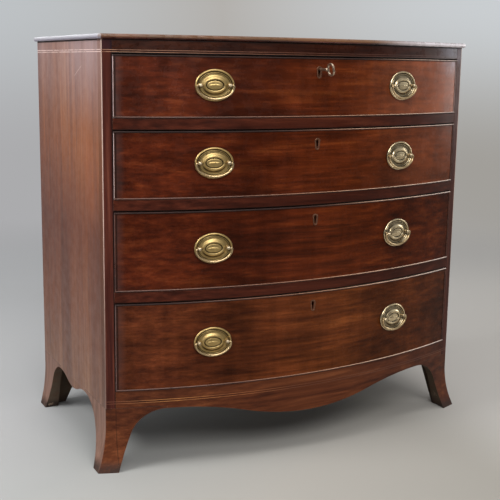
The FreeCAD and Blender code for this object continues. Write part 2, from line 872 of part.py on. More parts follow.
def make_cockbead(number, low, high):
    """A round-nosed bead round the drawer front: two long strips follow the bow, two stand upright."""
    nose = d.bead_thickness / 2
    straight = d.bead_proud - nose
    strips = []
    for name, base in (("lower", low), ("upper", high - d.bead_thickness)):
        strip = part_body(f"drawer_{number}_bead_{name}")
        nose_y = -bow_radius - straight
        section = [
            (d.bead_depth - bow_radius, zero),
            (d.bead_depth - bow_radius, d.bead_thickness),
            (nose_y, d.bead_thickness, arc(nose_y, nose, nose, 1)),
            (nose_y, zero),
        ]
        spin(strip, "YZ_Plane", [section], SWEEP)
        ends = [rectangle(front_reach, far, -far, far), rectangle(-far, -front_reach, -far, far)]
        pocket(strip, "XY_Plane", ends, far, both_ways=True)
        strips.append(place(strip, y=bow_centre, z=base))
    upright = part_body(f"drawer_{number}_bead_side")
    edge = front_reach - d.bead_thickness
    nose_y = bow_y(front_reach, straight)
    plan = [
        (-front_reach, bow_y(front_reach, -d.bead_depth)),
        (-front_reach, nose_y, arc(-front_reach + nose, nose_y, nose, 1)),
        (-edge, nose_y),
        (-edge, bow_y(edge, -d.bead_depth), arc(0, bow_centre, bow_radius - d.bead_depth, -1)),
    ]
    pad(upright, "XY_Plane", [plan], high - low - d.bead_thickness * 2)
    place(upright, z=low + d.bead_thickness)
    strips += [upright, mirrored(f"drawer_{number}_bead_side_right", upright)]
    keep(f"drawer_{number}_cockbead", group(f"drawer_{number}_cockbead", strips))


def make_lock(number, high, key_z):
    case = part_body(f"drawer_{number}_lock_case")
    half_lock = d.lock_width / 2
    plan = rectangle(-half_lock, half_lock, lock_front, lock_rear)
    pad(case, "XY_Plane", [plan], d.lock_height)
    reach = d.bolt_width / 2
    sideways = reach + d.bolt_fit
    channel = rectangle(-sideways, sideways, bolt_front - d.bolt_fit, bolt_rear + d.bolt_fit)
    top = d.lock_height
    bolt_drop = d.bolt_setback + d.bolt_height
    pocket(case, "XY_Plane", [channel], bolt_drop + d.bolt_foot_gap, offset=top)
    axis = top - (high - key_z)
    ring = Round(zero, axis, d.ward_radius)
    pocket(case, "XZ_Plane", [ring], d.lock_depth, offset=-bolt_rear, reverse=True)
    pin = Round(zero, axis, d.drill_pin_radius)
    pad(case, "XZ_Plane", [pin], d.drill_pin_length + d.lock_wall / 2, offset=-bolt_rear - d.lock_wall / 2)
    place(case, z=high - d.lock_height)
    bolt_top = high - d.bolt_setback
    bolt = block(f"drawer_{number}_bolt", (-reach, reach), (bolt_front, bolt_rear),
                 (bolt_top - d.bolt_height, bolt_top))
    thread = part_body(f"drawer_{number}_escutcheon")
    outlines = [keyhole(zero, key_z), keyhole(zero, key_z, -d.escutcheon_wall)]
    pad(thread, "XZ_Plane", outlines, d.escutcheon_depth + d.escutcheon_proud,
        offset=-(apex + d.escutcheon_depth))
    if number == "1":
        keep("drawer_1_lock", group("drawer_1_lock", [case, thread]))
        keep("lock_bolt", bolt)
    else:
        keep(f"drawer_{number}_lock", group(f"drawer_{number}_lock", [case, thread, bolt]))


def make_key(key_z):
    """The key in the top drawer's lock, modelled about its own axis and pointing to -Y."""
    key = part_body("key_blank")
    tip = bolt_rear - d.key_tip_gap
    ring_far = apex - d.key_reach
    ring_near = ring_far + d.key_ring_length
    wire = d.key_ring_wire / 2
    shank = [
        (zero, ring_near - wire),
        (d.key_shank_radius, ring_near - wire),
        (d.key_shank_radius, tip),
        (d.drill_pin_radius + d.pin_fit, tip),
        (d.drill_pin_radius + d.pin_fit, tip - d.key_bore),
        (zero, tip - d.key_bore),
    ]
    spin(key, "XY_Plane", [shank])
    bit_root = (d.key_shank_radius + d.drill_pin_radius) / 2
    bit = rectangle(tip - d.key_tip_gap - d.key_bit_length, tip - d.key_tip_gap, -d.key_bit_reach, -bit_root)
    pad(key, "YZ_Plane", [bit], d.key_bit_thickness, offset=-d.key_bit_thickness / 2)
    centre = (ring_far + ring_near) / 2
    outer = oval_outline(centre, zero, d.key_ring_length, d.key_ring_height)
    hole = oval_outline(centre, zero, d.key_ring_length - d.key_ring_wire * 2,
                        d.key_ring_height - d.key_ring_wire * 2)
    pad(key, "YZ_Plane", [outer, hole], d.key_ring_wire, offset=-wire)
    place(key, z=key_z, pitch=-d.key_ring_lean)
    keep("key", key)


def oval_outline(x, z, width, height):
    """An upright oval of two half circles joined by straight sides."""
    radius = width / 2
    straight = height / 2 - radius
    return [
        (x + radius, z + straight, arc(x, z + straight, radius, 1)),
        (x - radius, z + straight),
        (x - radius, z - straight, arc(x, z - straight, radius, 1)),
        (x + radius, z - straight),
    ]


# ---------------------------------------------------------------- handles

def oval(name, width, height, thickness, base=0):
    """An elliptical disc, drawn flat, standing on base."""
    ellipse = doc.addObject("Part::Ellipse", f"{name}_outline")
    ellipse.setExpression("MajorRadius", (width / 2).text)
    ellipse.setExpression("MinorRadius", (height / 2).text)
    place(ellipse, z=size(base))
    disc = doc.addObject("Part::Extrusion", name)
    disc.Base = ellipse
    disc.DirMode = "Custom"
    disc.Dir = FreeCAD.Vector(0, 0, 1)
    disc.setExpression("LengthFwd", size(thickness).text)
    disc.Solid = True
    return disc


def oval_ring(name, width, height, wall, thickness, base):
    ring = doc.addObject("Part::Cut", name)
    ring.Base = oval(f"{name}_full", width, height, thickness, base)
    ring.Tool = oval(f"{name}_hole", width - wall * 2, height - wall * 2, thickness * 3, base - thickness)
    return ring


def make_plate():
    """The oval back plate of a handle, drawn flat: base, rim, ridge, hollow boss and a plain bar."""
    width = d.post_spacing + d.plate_end * 2
    boss_width = d.post_spacing - d.boss_post_gap * 2
    base = oval("plate_base", width, d.plate_height, d.plate_base)
    sunk = d.plate_base / 2
    rim = oval_ring("plate_rim", width, d.plate_height, d.rim_width, d.rim_height - sunk, sunk)
    ridge = oval_ring("plate_ridge", width - d.ridge_inset * 2, d.plate_height - d.ridge_inset * 2,
                      d.ridge_width, d.ridge_height - sunk, sunk)
    boss = oval_ring("plate_boss", boss_width, d.boss_height, d.boss_wall, d.boss_relief - sunk, sunk)
    motif = oval("plate_motif", d.motif_width, d.motif_height, d.motif_relief - sunk, sunk)
    relief = doc.addObject("Part::MultiFuse", "plate_relief")
    relief.Shapes = [base, rim, ridge, boss, motif]
    drills = []
    for side in (-1, 1):
        drill = doc.addObject("Part::Cylinder", "plate_drill")
        drill.setExpression("Radius", (d.post_radius + d.post_fit).text)
        drill.setExpression("Height", (d.plate_base + d.cut_margin * 2).text)
        drills.append(place(drill, x=d.post_spacing / 2 * side, z=-d.cut_margin))
        seat = doc.addObject("Part::Cylinder", "plate_post_seat")
        seat.setExpression("Radius", (d.post_collar_radius + d.post_seat_margin).text)
        seat.setExpression("Height", d.cut_margin.text)
        drills.append(place(seat, x=d.post_spacing / 2 * side, z=d.plate_base))
    plate = doc.addObject("Part::Cut", "plate")
    plate.Base = relief
    plate.Tool = group("plate_drills", drills)
    return plate


def make_post():
    """A ball-headed post and its nut, along +Z from the plate, which stands on the XY plane."""
    post = part_body("post")
    ball = d.pivot_height
    neck = root(d.ball_radius * d.ball_radius - d.post_radius * d.post_radius)
    foot = d.plate_seat_gap + d.plate_base
    seat = d.front_thickness + d.nut_seat_gap
    tail = seat + d.nut_thickness + d.post_tail
    outline = [
        (zero, -tail),
        (d.post_radius, -tail),
        (d.post_radius, foot),
        (d.post_collar_radius, foot),
        (d.post_collar_radius, foot + d.post_collar),
        (d.post_radius, foot + d.post_collar),
        (d.post_radius, ball - neck, arc(0, ball, d.ball_radius, 1)),
        (zero, ball + d.ball_radius),
    ]
    spin(post, "XZ_Plane", [outline])
    eye = Round(zero, ball, d.pintle_radius + d.pintle_fit)
    pocket(post, "YZ_Plane", [eye], d.ball_radius * 3, both_ways=True)
    nut = part_body("nut")
    rings = [Round(zero, zero, d.nut_radius),
             Round(zero, zero, d.post_radius + d.post_fit / 2)]
    pad(nut, "XY_Plane", rings, d.nut_thickness, offset=-seat - d.nut_thickness)
    return post, nut


def make_bail():
    """A drop handle with its two pintles, hanging in the XZ plane below its axis."""
    bail = part_body("bail")
    pintle = d.post_spacing / 2 + d.ball_radius + d.bail_post_gap
    turn = d.bail_corner
    reach = pintle + d.bail_run + turn
    drop = d.bail_drop - d.bail_radius - turn
    shoulder = d.bail_shoulder
    sweep = ((reach - shoulder) * (reach - shoulder) + drop * drop - shoulder * shoulder) / (
        (drop - shoulder) * 2)
    low = -turn - drop
    sweep_z = low + sweep
    run_x = (shoulder - reach) / (sweep - shoulder)
    run_z = (-turn - sweep_z) / (sweep - shoulder)
    meet_x = shoulder - reach + shoulder * run_x
    meet_z = -turn + shoulder * run_z
    route = [
        ((-pintle, zero), (turn - reach, zero), None),
        ((turn - reach, zero), (-reach, -turn), arc(turn - reach, -turn, turn, 1)),
        ((-reach, -turn), (meet_x, meet_z), arc(shoulder - reach, -turn, shoulder, 1)),
        ((meet_x, meet_z), (-meet_x, meet_z), arc(0, sweep_z, sweep, 1)),
        ((-meet_x, meet_z), (reach, -turn), arc(reach - shoulder, -turn, shoulder, 1)),
        ((reach, -turn), (reach - turn, zero), arc(reach - turn, -turn, turn, 1)),
        ((reach - turn, zero), (pintle, zero), None),
    ]
    path = bail.newObject("Sketcher::SketchObject", "bail_path")
    planes = {feature.Role: feature for feature in bail.Origin.OriginFeatures}
    path.AttachmentSupport = (planes["XZ_Plane"], "")
    path.MapMode = "FlatFace"
    rules = []
    ends = []
    for index, (start, end, curve) in enumerate(route):
        edge, first, last = edge_between(start, end, curve)
        path.addGeometry(edge, False)
        ends.append((first, last))
        for spot, (x, y) in ((first, start), (last, end)):
            if spot == last and index + 1 < len(route):
                continue
            rules.append(("DistanceX", index, spot, size(x)))
            rules.append(("DistanceY", index, spot, size(y)))
        if curve is not None:
            kind, middle = centre_rule(start, end, curve)
            rules.append((kind, index, 3, middle))
    for index in range(len(route) - 1):
        joined = (index, ends[index][1], index + 1, ends[index + 1][0])
        path.addConstraint(Sketcher.Constraint("Coincident", *joined))
    for kind, index, spot, place_of in rules:
        number = path.addConstraint(Sketcher.Constraint(kind, -1, 1, index, spot, place_of.value))
        name = f"{kind}_{index}_{spot}"
        path.renameConstraint(number, name)
        path.setExpression(f"Constraints.{name}", place_of.text)
    section = sketch(bail, "YZ_Plane", [Round(zero, zero, d.bail_radius)], offset=-pintle)
    pipe = bail.newObject("PartDesign::AdditivePipe", "bail_pipe")
    pipe.Profile = section
    pipe.Spine = path
    bail.Tip = pipe
    pin_end = d.post_spacing / 2 - d.ball_radius + d.pintle_inset
    pin_root = pintle + d.bail_radius / 2
    for offset in (-pin_root, pin_end):
        pin = Round(zero, zero, d.pintle_radius)
        pad(bail, "YZ_Plane", [pin], pin_root - pin_end, offset=offset)
    return bail


def linked(name, source, x, y, z, facing, roll=0):
    """A copy of a finished piece, set at a handle's place and facing straight out of the bow."""
    item = doc.addObject("Part::Compound", name)
    item.Links = [source]
    return place(item, x, y, z, yaw=facing, roll=roll)


# ---------------------------------------------------------------- build

make_top()
make_sides()
make_frame()
make_stops()
make_aprons()
make_front_feet()
make_rear_feet()

plate = make_plate()
post, nut = make_post()
bail = make_bail()
for number in DRAWERS:
    low = levels[number] + d.drawer_gap
    box_low = levels[number] + d.drawer_run_gap
    high = levels[number] + openings[number] - d.drawer_top_gap
    handle_z = (low + high) / 2 + d.handle_lift
    key_z = high - d.keyhole_drop
    make_drawer_front(number, low, high, box_low, handle_z, key_z)
    make_drawer_box(number, box_low, high)
    make_cockbead(number, low, high)
    make_lock(number, high, key_z)
    if number == "1":
        make_key(key_z)
    plates = []
    fixings = []
    for sign, hand in ((-1, "left"), (1, "right")):
        x, y, facing = along_handle(sign, zero, d.plate_seat_gap)
        plates.append(linked(f"drawer_{number}_plate_{hand}", plate, x, y, handle_z, facing, size(90)))
        for side in (-1, 1):
            x, y, facing = along_handle(sign, d.post_spacing / 2 * side, zero)
            for piece in (post, nut):
                fixings.append(linked(
                    f"drawer_{number}_{piece.Name}_{hand}", piece, x, y, handle_z, facing, size(90)))
        x, y, facing = along_handle(sign, zero, d.pivot_height)
        keep(f"bail_{number}_{hand}",
             linked(f"bail_{number}_{hand}", bail, x, y, handle_z, facing))
    keep(f"drawer_{number}_handle_plates", group(f"drawer_{number}_handle_plates", plates))
    keep(f"drawer_{number}_handle_posts", group(f"drawer_{number}_handle_posts", fixings))

# ---------------------------------------------------------------- check and write

doc.recompute()
for item in doc.Objects:
    if "Invalid" in item.State or "Error" in item.State:
        raise RuntimeError(f"{item.Label} did not build: {item.State}")
os.makedirs("parts", exist_ok=True)
for node, item in NODES.items():
    shape = item.Shape
    if shape.isNull() or not shape.isValid() or not shape.Solids:
        raise RuntimeError(f"{node} has no valid solid")
    shape.exportStep(f"parts/{node}.step")
print(len(NODES), "sub-parts written")
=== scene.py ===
import math

import bmesh
import bpy
from mathutils import Matrix, Vector


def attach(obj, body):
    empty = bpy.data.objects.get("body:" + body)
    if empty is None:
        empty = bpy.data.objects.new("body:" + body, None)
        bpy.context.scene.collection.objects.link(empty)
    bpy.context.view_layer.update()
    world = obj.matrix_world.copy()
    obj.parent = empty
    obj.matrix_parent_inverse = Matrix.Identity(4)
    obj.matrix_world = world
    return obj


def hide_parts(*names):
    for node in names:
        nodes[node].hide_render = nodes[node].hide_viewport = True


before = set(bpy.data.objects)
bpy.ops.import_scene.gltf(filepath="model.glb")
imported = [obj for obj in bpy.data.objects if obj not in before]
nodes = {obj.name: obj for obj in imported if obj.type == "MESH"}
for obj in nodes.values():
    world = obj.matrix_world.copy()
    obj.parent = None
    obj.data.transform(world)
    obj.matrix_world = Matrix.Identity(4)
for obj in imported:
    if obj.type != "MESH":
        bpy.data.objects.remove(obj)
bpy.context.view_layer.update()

# Lengths are in metres, or in mm where a comment says so. The chest faces -Y and stands on z = 0.
MM = 0.001
BOW_RADIUS = 1.30882        # of the drawer fronts, seen from above
BOW_CENTRE = 1.06382        # y of that arc's centre
CORNER_Y = -0.1615          # y of the case's front corners
BACK_Y = 0.298              # y of its back
HALF = 0.46                 # half the case's width
OPENINGS = ((0.1750, 0.3681), (0.3915, 0.5626), (0.5860, 0.7291), (0.7525, 0.8821))     # low and high z
HANDLE_X = 0.238
HANDLE_HEIGHTS = {"1": 0.8205, "2": 0.66075, "3": 0.48025, "4": 0.27475}
KEYHOLE_HEIGHTS = {"1": 0.8549, "2": 0.7019, "3": 0.5354, "4": 0.3409}
SIDES = (("left", -1), ("right", 1))


def bow_y(x, out=0.0):
    """The front's y at x, or that of a surface that lies out metres in front of it."""
    radius = BOW_RADIUS + out
    return BOW_CENTRE - math.sqrt(radius * radius - x * x)


def srgb(red, green, blue):
    """A colour given as 0-255 screen values, as the linear values that sockets take."""
    def channel(value):
        value /= 255
        return value / 12.92 if value <= 0.04045 else ((value + 0.055) / 1.055) ** 2.4
    return channel(red), channel(green), channel(blue), 1.0


# ---------------------------------------------------------------- node helper

SEED_STEPS = (1.0, 0.7, 1.3)    # what a seed adds along each axis
WHITE = (1.0, 1.0, 1.0)
EDGE_SAMPLES = 6


class Nodes:
    """Builds a node tree from calls. Each call returns the new node's output."""

    def __init__(self, tree):
        self.tree = tree
        self.tree.nodes.clear()

    def add(self, kind, **settings):
        node = self.tree.nodes.new(kind)
        for key, value in settings.items():
            setattr(node, key, value)
        return node

    def put(self, socket, value):
        """Link or set a socket. None leaves it as it is."""
        if isinstance(value, bpy.types.NodeSocket):
            self.tree.links.new(value, socket)
        elif value is not None:
            socket.default_value = value

    def object_coords(self):
        return self.add("ShaderNodeTexCoord").outputs["Object"]

    def coords(self, scale, seed=0.0):
        """The object's own coordinates, moved by seed and scaled along each axis."""
        moved = self.vector("ADD", self.object_coords(), [seed * step for step in SEED_STEPS])
        return self.vector("MULTIPLY", moved, scale)

    def axes(self, source):
        split = self.add("ShaderNodeSeparateXYZ")
        self.put(split.inputs[0], source)
        return split.outputs

    def spot(self):
        """The shaded point as x, y and z of the object's own coordinates."""
        return self.axes(self.object_coords())

    def facing(self):
        return self.axes(self.add("ShaderNodeNewGeometry").outputs["Normal"])

    def vector(self, operation, first, second=None):
        node = self.add("ShaderNodeVectorMath", operation=operation)
        self.put(node.inputs[0], first)
        self.put(node.inputs[3 if operation == "SCALE" else 1], second)
        return node.outputs["Value" if operation in ("DOT_PRODUCT", "LENGTH") else "Vector"]

    def math(self, operation, first, second=None, clamp=False):
        node = self.add("ShaderNodeMath", operation=operation, use_clamp=clamp)
        self.put(node.inputs[0], first)
        self.put(node.inputs[1], second)
        return node.outputs[0]

    def product(self, first, *others):
        for other in others:
            first = self.math("MULTIPLY", first, other)
        return first

    def greatest(self, first, *others):
        for other in others:
            first = self.math("MAXIMUM", first, other)
        return first

    def noise(self, vector, scale=1.0, detail=3.0, roughness=0.5, distortion=0.0):
        node = self.add("ShaderNodeTexNoise")
        self.put(node.inputs["Vector"], vector)
        self.put(node.inputs["Scale"], scale)
        self.put(node.inputs["Detail"], detail)
        self.put(node.inputs["Roughness"], roughness)
        self.put(node.inputs["Distortion"], distortion)
        return node.outputs["Fac"]

    def spread(self, value, low, high, start=0.0, end=1.0):
        """Map low..high to start..end, smoothly and clamped."""
        node = self.add("ShaderNodeMapRange", interpolation_type="SMOOTHSTEP")
        for socket, entry in zip(node.inputs, (value, low, high, start, end)):
            self.put(socket, entry)
        return node.outputs[0]

    def between(self, value, low, high, soft):
        """1 where low < value < high, fading over soft at both ends."""
        rising = self.spread(value, low - soft, low + soft)
        falling = self.spread(value, high - soft, high + soft, 1.0, 0.0)
        return self.product(rising, falling)

    def share_across(self, x):
        """0 at the case's left end and 1 at its right end."""
        return self.math("ADD", self.product(x, 1 / (2 * HALF)), 0.5)

    def mix(self, factor, first, second, blend="MIX"):
        node = self.add("ShaderNodeMix", data_type="RGBA", blend_type=blend)
        self.put(node.inputs[0], factor)
        self.put(node.inputs[6], first)
        self.put(node.inputs[7], second)
        return node.outputs[2]

    def tinted(self, colour, tint):
        return self.mix(1.0, colour, tint, "MULTIPLY")

    def grey(self, level):
        return self.vector("SCALE", WHITE, level)

    def ramp(self, factor, stops):
        node = self.add("ShaderNodeValToRGB")
        self.put(node.inputs[0], factor)
        elements = node.color_ramp.elements
        while len(elements) < len(stops):
            elements.new(0.5)
        for element, (place, colour) in zip(elements, stops):
            element.position = place
            element.color = colour
        return node.outputs[0]

    def bump(self, height, distance, normal=None):
        node = self.add("ShaderNodeBump")
        self.put(node.inputs["Strength"], 1.0)
        self.put(node.inputs["Distance"], distance)
        self.put(node.inputs["Height"], height)
        self.put(node.inputs["Normal"], normal)
        return node.outputs[0]

    def soft_edges(self, radius):
        """Rounded normals near sharp edges, and a mask that is 1 on those edges."""
        bevel = self.add("ShaderNodeBevel", samples=EDGE_SAMPLES)
        self.put(bevel.inputs["Radius"], radius)
        true = self.add("ShaderNodeNewGeometry").outputs["Normal"]
        facing = self.vector("DOT_PRODUCT", bevel.outputs[0], true)
        return bevel.outputs[0], self.math("SUBTRACT", 1.0, facing, clamp=True)

    def principled(self, colour, roughness, normal=None, **constants):
        shader = self.add("ShaderNodeBsdfPrincipled")
        self.put(shader.inputs["Base Color"], colour)
        self.put(shader.inputs["Roughness"], roughness)
        self.put(shader.inputs["Normal"], normal)
        for key, value in constants.items():
            shader.inputs[key.replace("_", " ")].default_value = value
        return shader.outputs[0]

    def finish(self, shader):
        self.put(self.add("ShaderNodeOutputMaterial").inputs["Surface"], shader)


def new_material(name):
    material = bpy.data.materials.new(name)
    material.use_nodes = True
    return material, Nodes(material.node_tree)


# ---------------------------------------------------------------- wood

FRONT_TONES = [srgb(50, 20, 8), srgb(71, 28, 11), srgb(84, 34, 13), srgb(104, 48, 20)]
# Paler tones for the lowest drawer, painted to stand for the pale floor's reflection in it.
LOW_FRONT_LIT_TONES = [srgb(60, 27, 12), srgb(80, 38, 17), srgb(92, 45, 20), srgb(110, 57, 27)]
CASE_TONES = [srgb(46, 20, 16), srgb(70, 33, 26), srgb(90, 46, 36), srgb(116, 66, 50)]
RAIL_TONES = [srgb(46, 19, 12), srgb(66, 29, 19), srgb(82, 38, 25), srgb(106, 54, 36)]
APRON_TONES = [srgb(55, 25, 14), srgb(81, 40, 22), srgb(97, 51, 28), srgb(120, 68, 39)]
# The sides are the same mahogany, painted paler for the strong light that falls on them.
SIDE_LIT_TONES = [srgb(112, 60, 36), srgb(138, 78, 46), srgb(156, 92, 56), srgb(172, 110, 72)]
DARK_TONES = [srgb(30, 14, 10), srgb(48, 23, 15), srgb(68, 34, 21)]
BEAD_TONES = [srgb(44, 20, 12), srgb(66, 32, 20), srgb(84, 44, 28)]
OAK_TONES = [srgb(112, 82, 52), srgb(150, 116, 76), srgb(178, 146, 102)]
PINE_TONES = [srgb(136, 102, 64), srgb(170, 132, 86), srgb(194, 158, 110)]
DUSTY_TONES = [srgb(52, 40, 30), srgb(70, 54, 40), srgb(88, 70, 52)]
WORN = srgb(206, 160, 138)
# Dark joints, and painted shade in the gaps beside the drawers and under the top board.
GRIME_AND_SHADE = srgb(16, 9, 7)
PALE = srgb(232, 204, 190)
FINE_LINES = (0.42, 0.34, 0.3, 1.0)
PORE = (0.012, 0.005, 0.003, 1.0)
WARP = 0.02                     # how far the grain wanders
TONE_RANGE = (0.3, 0.7)         # noise levels of the darkest and the palest tone
GLOSS_RANGE = 0.14              # how much duller the scuffed places are
DULLING = 0.4                   # and those that dress_up calls dull
UNDER_TOP = (0.9068, 0.9082)    # painted shadow under the top board begins and is full


def grain_scale(axis, along, across):
    return tuple(along if letter == axis else across for letter in "XYZ")


def wood(name, axis, colours, seed, wear=0.0, edge=0.0012, gloss=0.3, shine=0.3, blotch=0.35,
         pore_depth=0.00002, dress_up=None):
    """Polished or bare wood whose grain runs along one axis.

    wear is how pale the edges are rubbed, gloss the roughness of the polish, and blotch the share of
    broad patches against streaks. dress_up changes the colour and says where the polish is dull.
    """
    material, n = new_material(name)
    place = n.coords(WHITE, seed)
    warp = n.noise(n.coords(grain_scale(axis, 1.6, 4.0), seed + 3.1), detail=2.0)
    bend = n.vector("SCALE", (0.0 if axis == "X" else WARP, WARP, 0.0 if axis == "Z" else WARP), warp)
    place = n.vector("ADD", place, bend)

    def grain(along, across, **settings):
        return n.noise(n.vector("MULTIPLY", place, grain_scale(axis, along, across)), **settings)

    broad = grain(1.1, 9.0, detail=2.0, roughness=0.5)
    streak = grain(2.4, 85.0, detail=4.0, roughness=0.6)
    fine = grain(7.0, 380.0, detail=2.0)
    tone = n.math("ADD", n.product(broad, blotch), n.product(streak, 1.0 - blotch))
    places = [index / (len(colours) - 1) for index in range(len(colours))]
    colour = n.ramp(n.spread(tone, *TONE_RANGE), list(zip(places, colours)))
    colour = n.mix(n.spread(fine, 0.35, 0.75, 0.0, 0.3), colour, FINE_LINES, "MULTIPLY")
    pits = n.spread(grain(90.0, 1500.0, detail=1.0), 0.6, 0.7)
    colour = n.mix(n.product(pits, 0.3), colour, PORE)

    rounded, rim = n.soft_edges(edge)
    scuff = n.noise(place, scale=38.0, detail=5.0, roughness=0.65)
    if wear:
        rubbed = n.product(n.spread(rim, 0.01, 0.14), n.spread(scuff, 0.25, 0.55, 0.25 * wear, wear))
        colour = n.mix(rubbed, colour, WORN)
    roughness = n.spread(scuff, 0.3, 0.75, gloss, gloss + GLOSS_RANGE)
    if dress_up:
        colour, dull = dress_up(n, colour, scuff)
        roughness = n.math("ADD", roughness, n.product(dull, DULLING), clamp=True)
    relief = n.math("SUBTRACT", n.product(streak, 0.5), pits)
    normal = n.bump(relief, pore_depth, rounded)
    n.finish(n.principled(colour, roughness, normal, Specular_IOR_Level=shine))
    return material


# Brightness and tint of a drawer front, from the case's left end (0) to its right end (1), the same on every
# drawer: partly the wood's own tone, partly painted reflection.
FRONT_BANDS = ((0.03, 0.9), (0.12, 1.18), (0.22, 1.0), (0.3, 0.7), (0.43, 1.14), (0.58, 1.24),
               (0.68, 0.95), (0.75, 0.62), (0.87, 0.82), (0.97, 0.54))
BAND_BLUE = 0.96
FRONT_TINT = ((0.0, (0.94, 0.94, 1.35, 1.0)), (0.3, (1.0, 0.98, 1.15, 1.0)),
              (0.6, (1.0, 1.04, 1.0, 1.0)), (1.0, (1.04, 1.0, 1.0, 1.0)))
FRONT_PALE_END = srgb(156, 84, 50)
FRONT_HAZE = srgb(84, 62, 58)
FRONT_SHEEN = srgb(162, 146, 152)
FRONT_END = (0.4325, 0.4342)    # painted shade at the front's ends begins and is full


def front_marks(paler, seed):
    """Broad lights and darks up a drawer front, partly painted reflection, broken dark streaks, a paler right
    end, a painted sheen at the top right and painted shade at its ends.
    """
    def marks(n, colour, scuff):
        spot = n.spot()
        drift = n.noise(n.coords((4.0, 4.0, 3.5), seed), detail=2.0)
        place = n.math("ADD", spot[0], n.product(n.math("SUBTRACT", drift, 0.5), 0.14))
        place = n.share_across(place)
        bands = [(at, (level, level, level * BAND_BLUE, 1.0)) for at, level in FRONT_BANDS]
        colour = n.tinted(colour, n.ramp(place, bands))
        colour = n.tinted(colour, n.ramp(place, FRONT_TINT))
        # The right end is paler, more so on the upper drawers.
        colour = n.mix(n.spread(spot[0], 0.04, 0.4, 0.0, paler), colour, FRONT_PALE_END)

        patch = n.noise(n.coords((6.0, 6.0, 17.0), seed + 0.4), detail=4.0, roughness=0.6, distortion=0.4)
        streak = n.noise(n.coords((10.0, 10.0, 120.0), seed + 0.9), detail=3.0, roughness=0.6)
        curl = n.noise(n.coords((34.0, 34.0, 4.0), seed + 1.7), detail=2.0)
        level = n.product(n.spread(patch, 0.34, 0.62, 0.74, 1.16), n.spread(streak, 0.38, 0.68, 1.08, 0.8),
                          n.spread(curl, 0.35, 0.65, 0.91, 1.1))
        colour = n.tinted(colour, n.grey(level))

        haze = n.product(n.spread(spot[0], -0.415, -0.436), n.spread(scuff, 0.3, 0.7, 0.25, 0.5))
        colour = n.mix(haze, colour, FRONT_HAZE)
        # Painted sheen: a pale reflection at the top right corner of the front.
        sheen = n.product(n.spread(spot[0], 0.355, 0.43), n.spread(spot[2], 0.83, 0.872),
                          n.spread(scuff, 0.3, 0.7, 0.35, 0.7))
        colour = n.mix(sheen, colour, FRONT_SHEEN)
        # Painted shade at the front's ends, beside the gap.
        rim = n.spread(n.math("ABSOLUTE", spot[0]), *FRONT_END)
        return n.mix(n.product(rim, 0.6), colour, GRIME_AND_SHADE), haze
    return marks


# Wear and painted highlight on the beads' upward faces, from the case's left end (0) to its right end (1).
BEAD_WEAR_AND_HIGHLIGHT = ((0.0, srgb(116, 88, 76)), (0.3, srgb(150, 112, 92)), (0.55, srgb(200, 156, 126)),
            (0.78, srgb(250, 216, 188)), (1.0, srgb(252, 232, 218)))
# Painted highlight on the beads' left-facing sides.
BEAD_SIDE_HIGHLIGHT = srgb(222, 200, 196)
BEAD_BAND = (0.0062, 0.002)     # the upper bead lies this far below the opening's edge
DARK_FADE = 0.25                # the width over which its painted shade ends


def worn_and_highlit_beads(pale_left, pale_right, dark_until):
    """Beads are rubbed pale and carry a painted highlight where they face up or outwards, and painted shade
    lies on them under the rails.
    """
    def marks(n, colour, scuff):
        spot = n.spot()
        facing = n.facing()
        # Painted light: pale wear and a painted highlight where the beads face up, growing towards the right,
        # a painted highlight where they face left, and painted shade on the upper bead under each rail.
        rub_and_highlight = n.ramp(n.share_across(spot[0]), BEAD_WEAR_AND_HIGHLIGHT)
        shaded = n.greatest(0.0, *(
            n.between(spot[2], high - BEAD_BAND[0], high - BEAD_BAND[1], 0.0003) for _, high in OPENINGS))
        shaded = n.product(shaded, n.spread(spot[0], dark_until - DARK_FADE, dark_until, 1.0, 0.0))
        upward = n.product(n.spread(facing[2], 0.3, 0.7), n.spread(facing[2], 0.95, 0.99, 1.0, 0.4),
                           n.spread(spot[0], -0.44, 0.25, 0.6, 1.0), n.math("SUBTRACT", 1.0, shaded))
        leftward = n.product(n.spread(facing[0], -0.85, -0.35, 1.0, 0.0),
                             n.spread(facing[0], -0.99, -0.95, 0.4, 1.0),
                             n.spread(spot[0], -0.1, 0.1, pale_left, pale_right))
        colour = n.mix(n.product(upward, n.spread(scuff, 0.3, 0.6, 0.7, 0.95)), colour, rub_and_highlight)
        colour = n.mix(n.product(leftward, n.spread(scuff, 0.3, 0.6, 0.6, 0.95)), colour, BEAD_SIDE_HIGHLIGHT)
        return n.mix(n.product(shaded, 0.6), colour, GRIME_AND_SHADE), shaded
    return marks


RAIL_SHADE = srgb(46, 20, 12)
FRIEZE_SHEEN = srgb(122, 120, 134)


def dirt_shade_and_sheen(n, colour, scuff):
    """Old grime and painted shade along the drawer openings, a painted shadow under the top board, and a
    painted bluish sheen at the right.
    """
    spot = n.spot()
    colour = n.mix(n.spread(spot[0], -0.3, 0.3, 0.0, 0.45), colour, RAIL_SHADE)
    # Painted sheen: a bluish reflection near the right end.
    sheen = n.product(n.spread(spot[0], 0.34, 0.43), n.spread(spot[2], 0.884, 0.888),
                      n.spread(scuff, 0.3, 0.7, 0.2, 0.6))
    colour = n.mix(sheen, colour, FRIEZE_SHEEN)
    # Painted shade, with some grime, along each opening, and a painted shadow under the top board.
    dirt_and_shade = n.greatest(n.spread(spot[2], *UNDER_TOP), *(
        n.between(spot[2], high - 0.001, high + 0.0014, 0.0005) for _, high in OPENINGS))
    dirt_and_shade = n.product(dirt_and_shade, n.spread(scuff, 0.2, 0.5, 0.8, 0.95))
    return n.mix(dirt_and_shade, colour, GRIME_AND_SHADE), dirt_and_shade


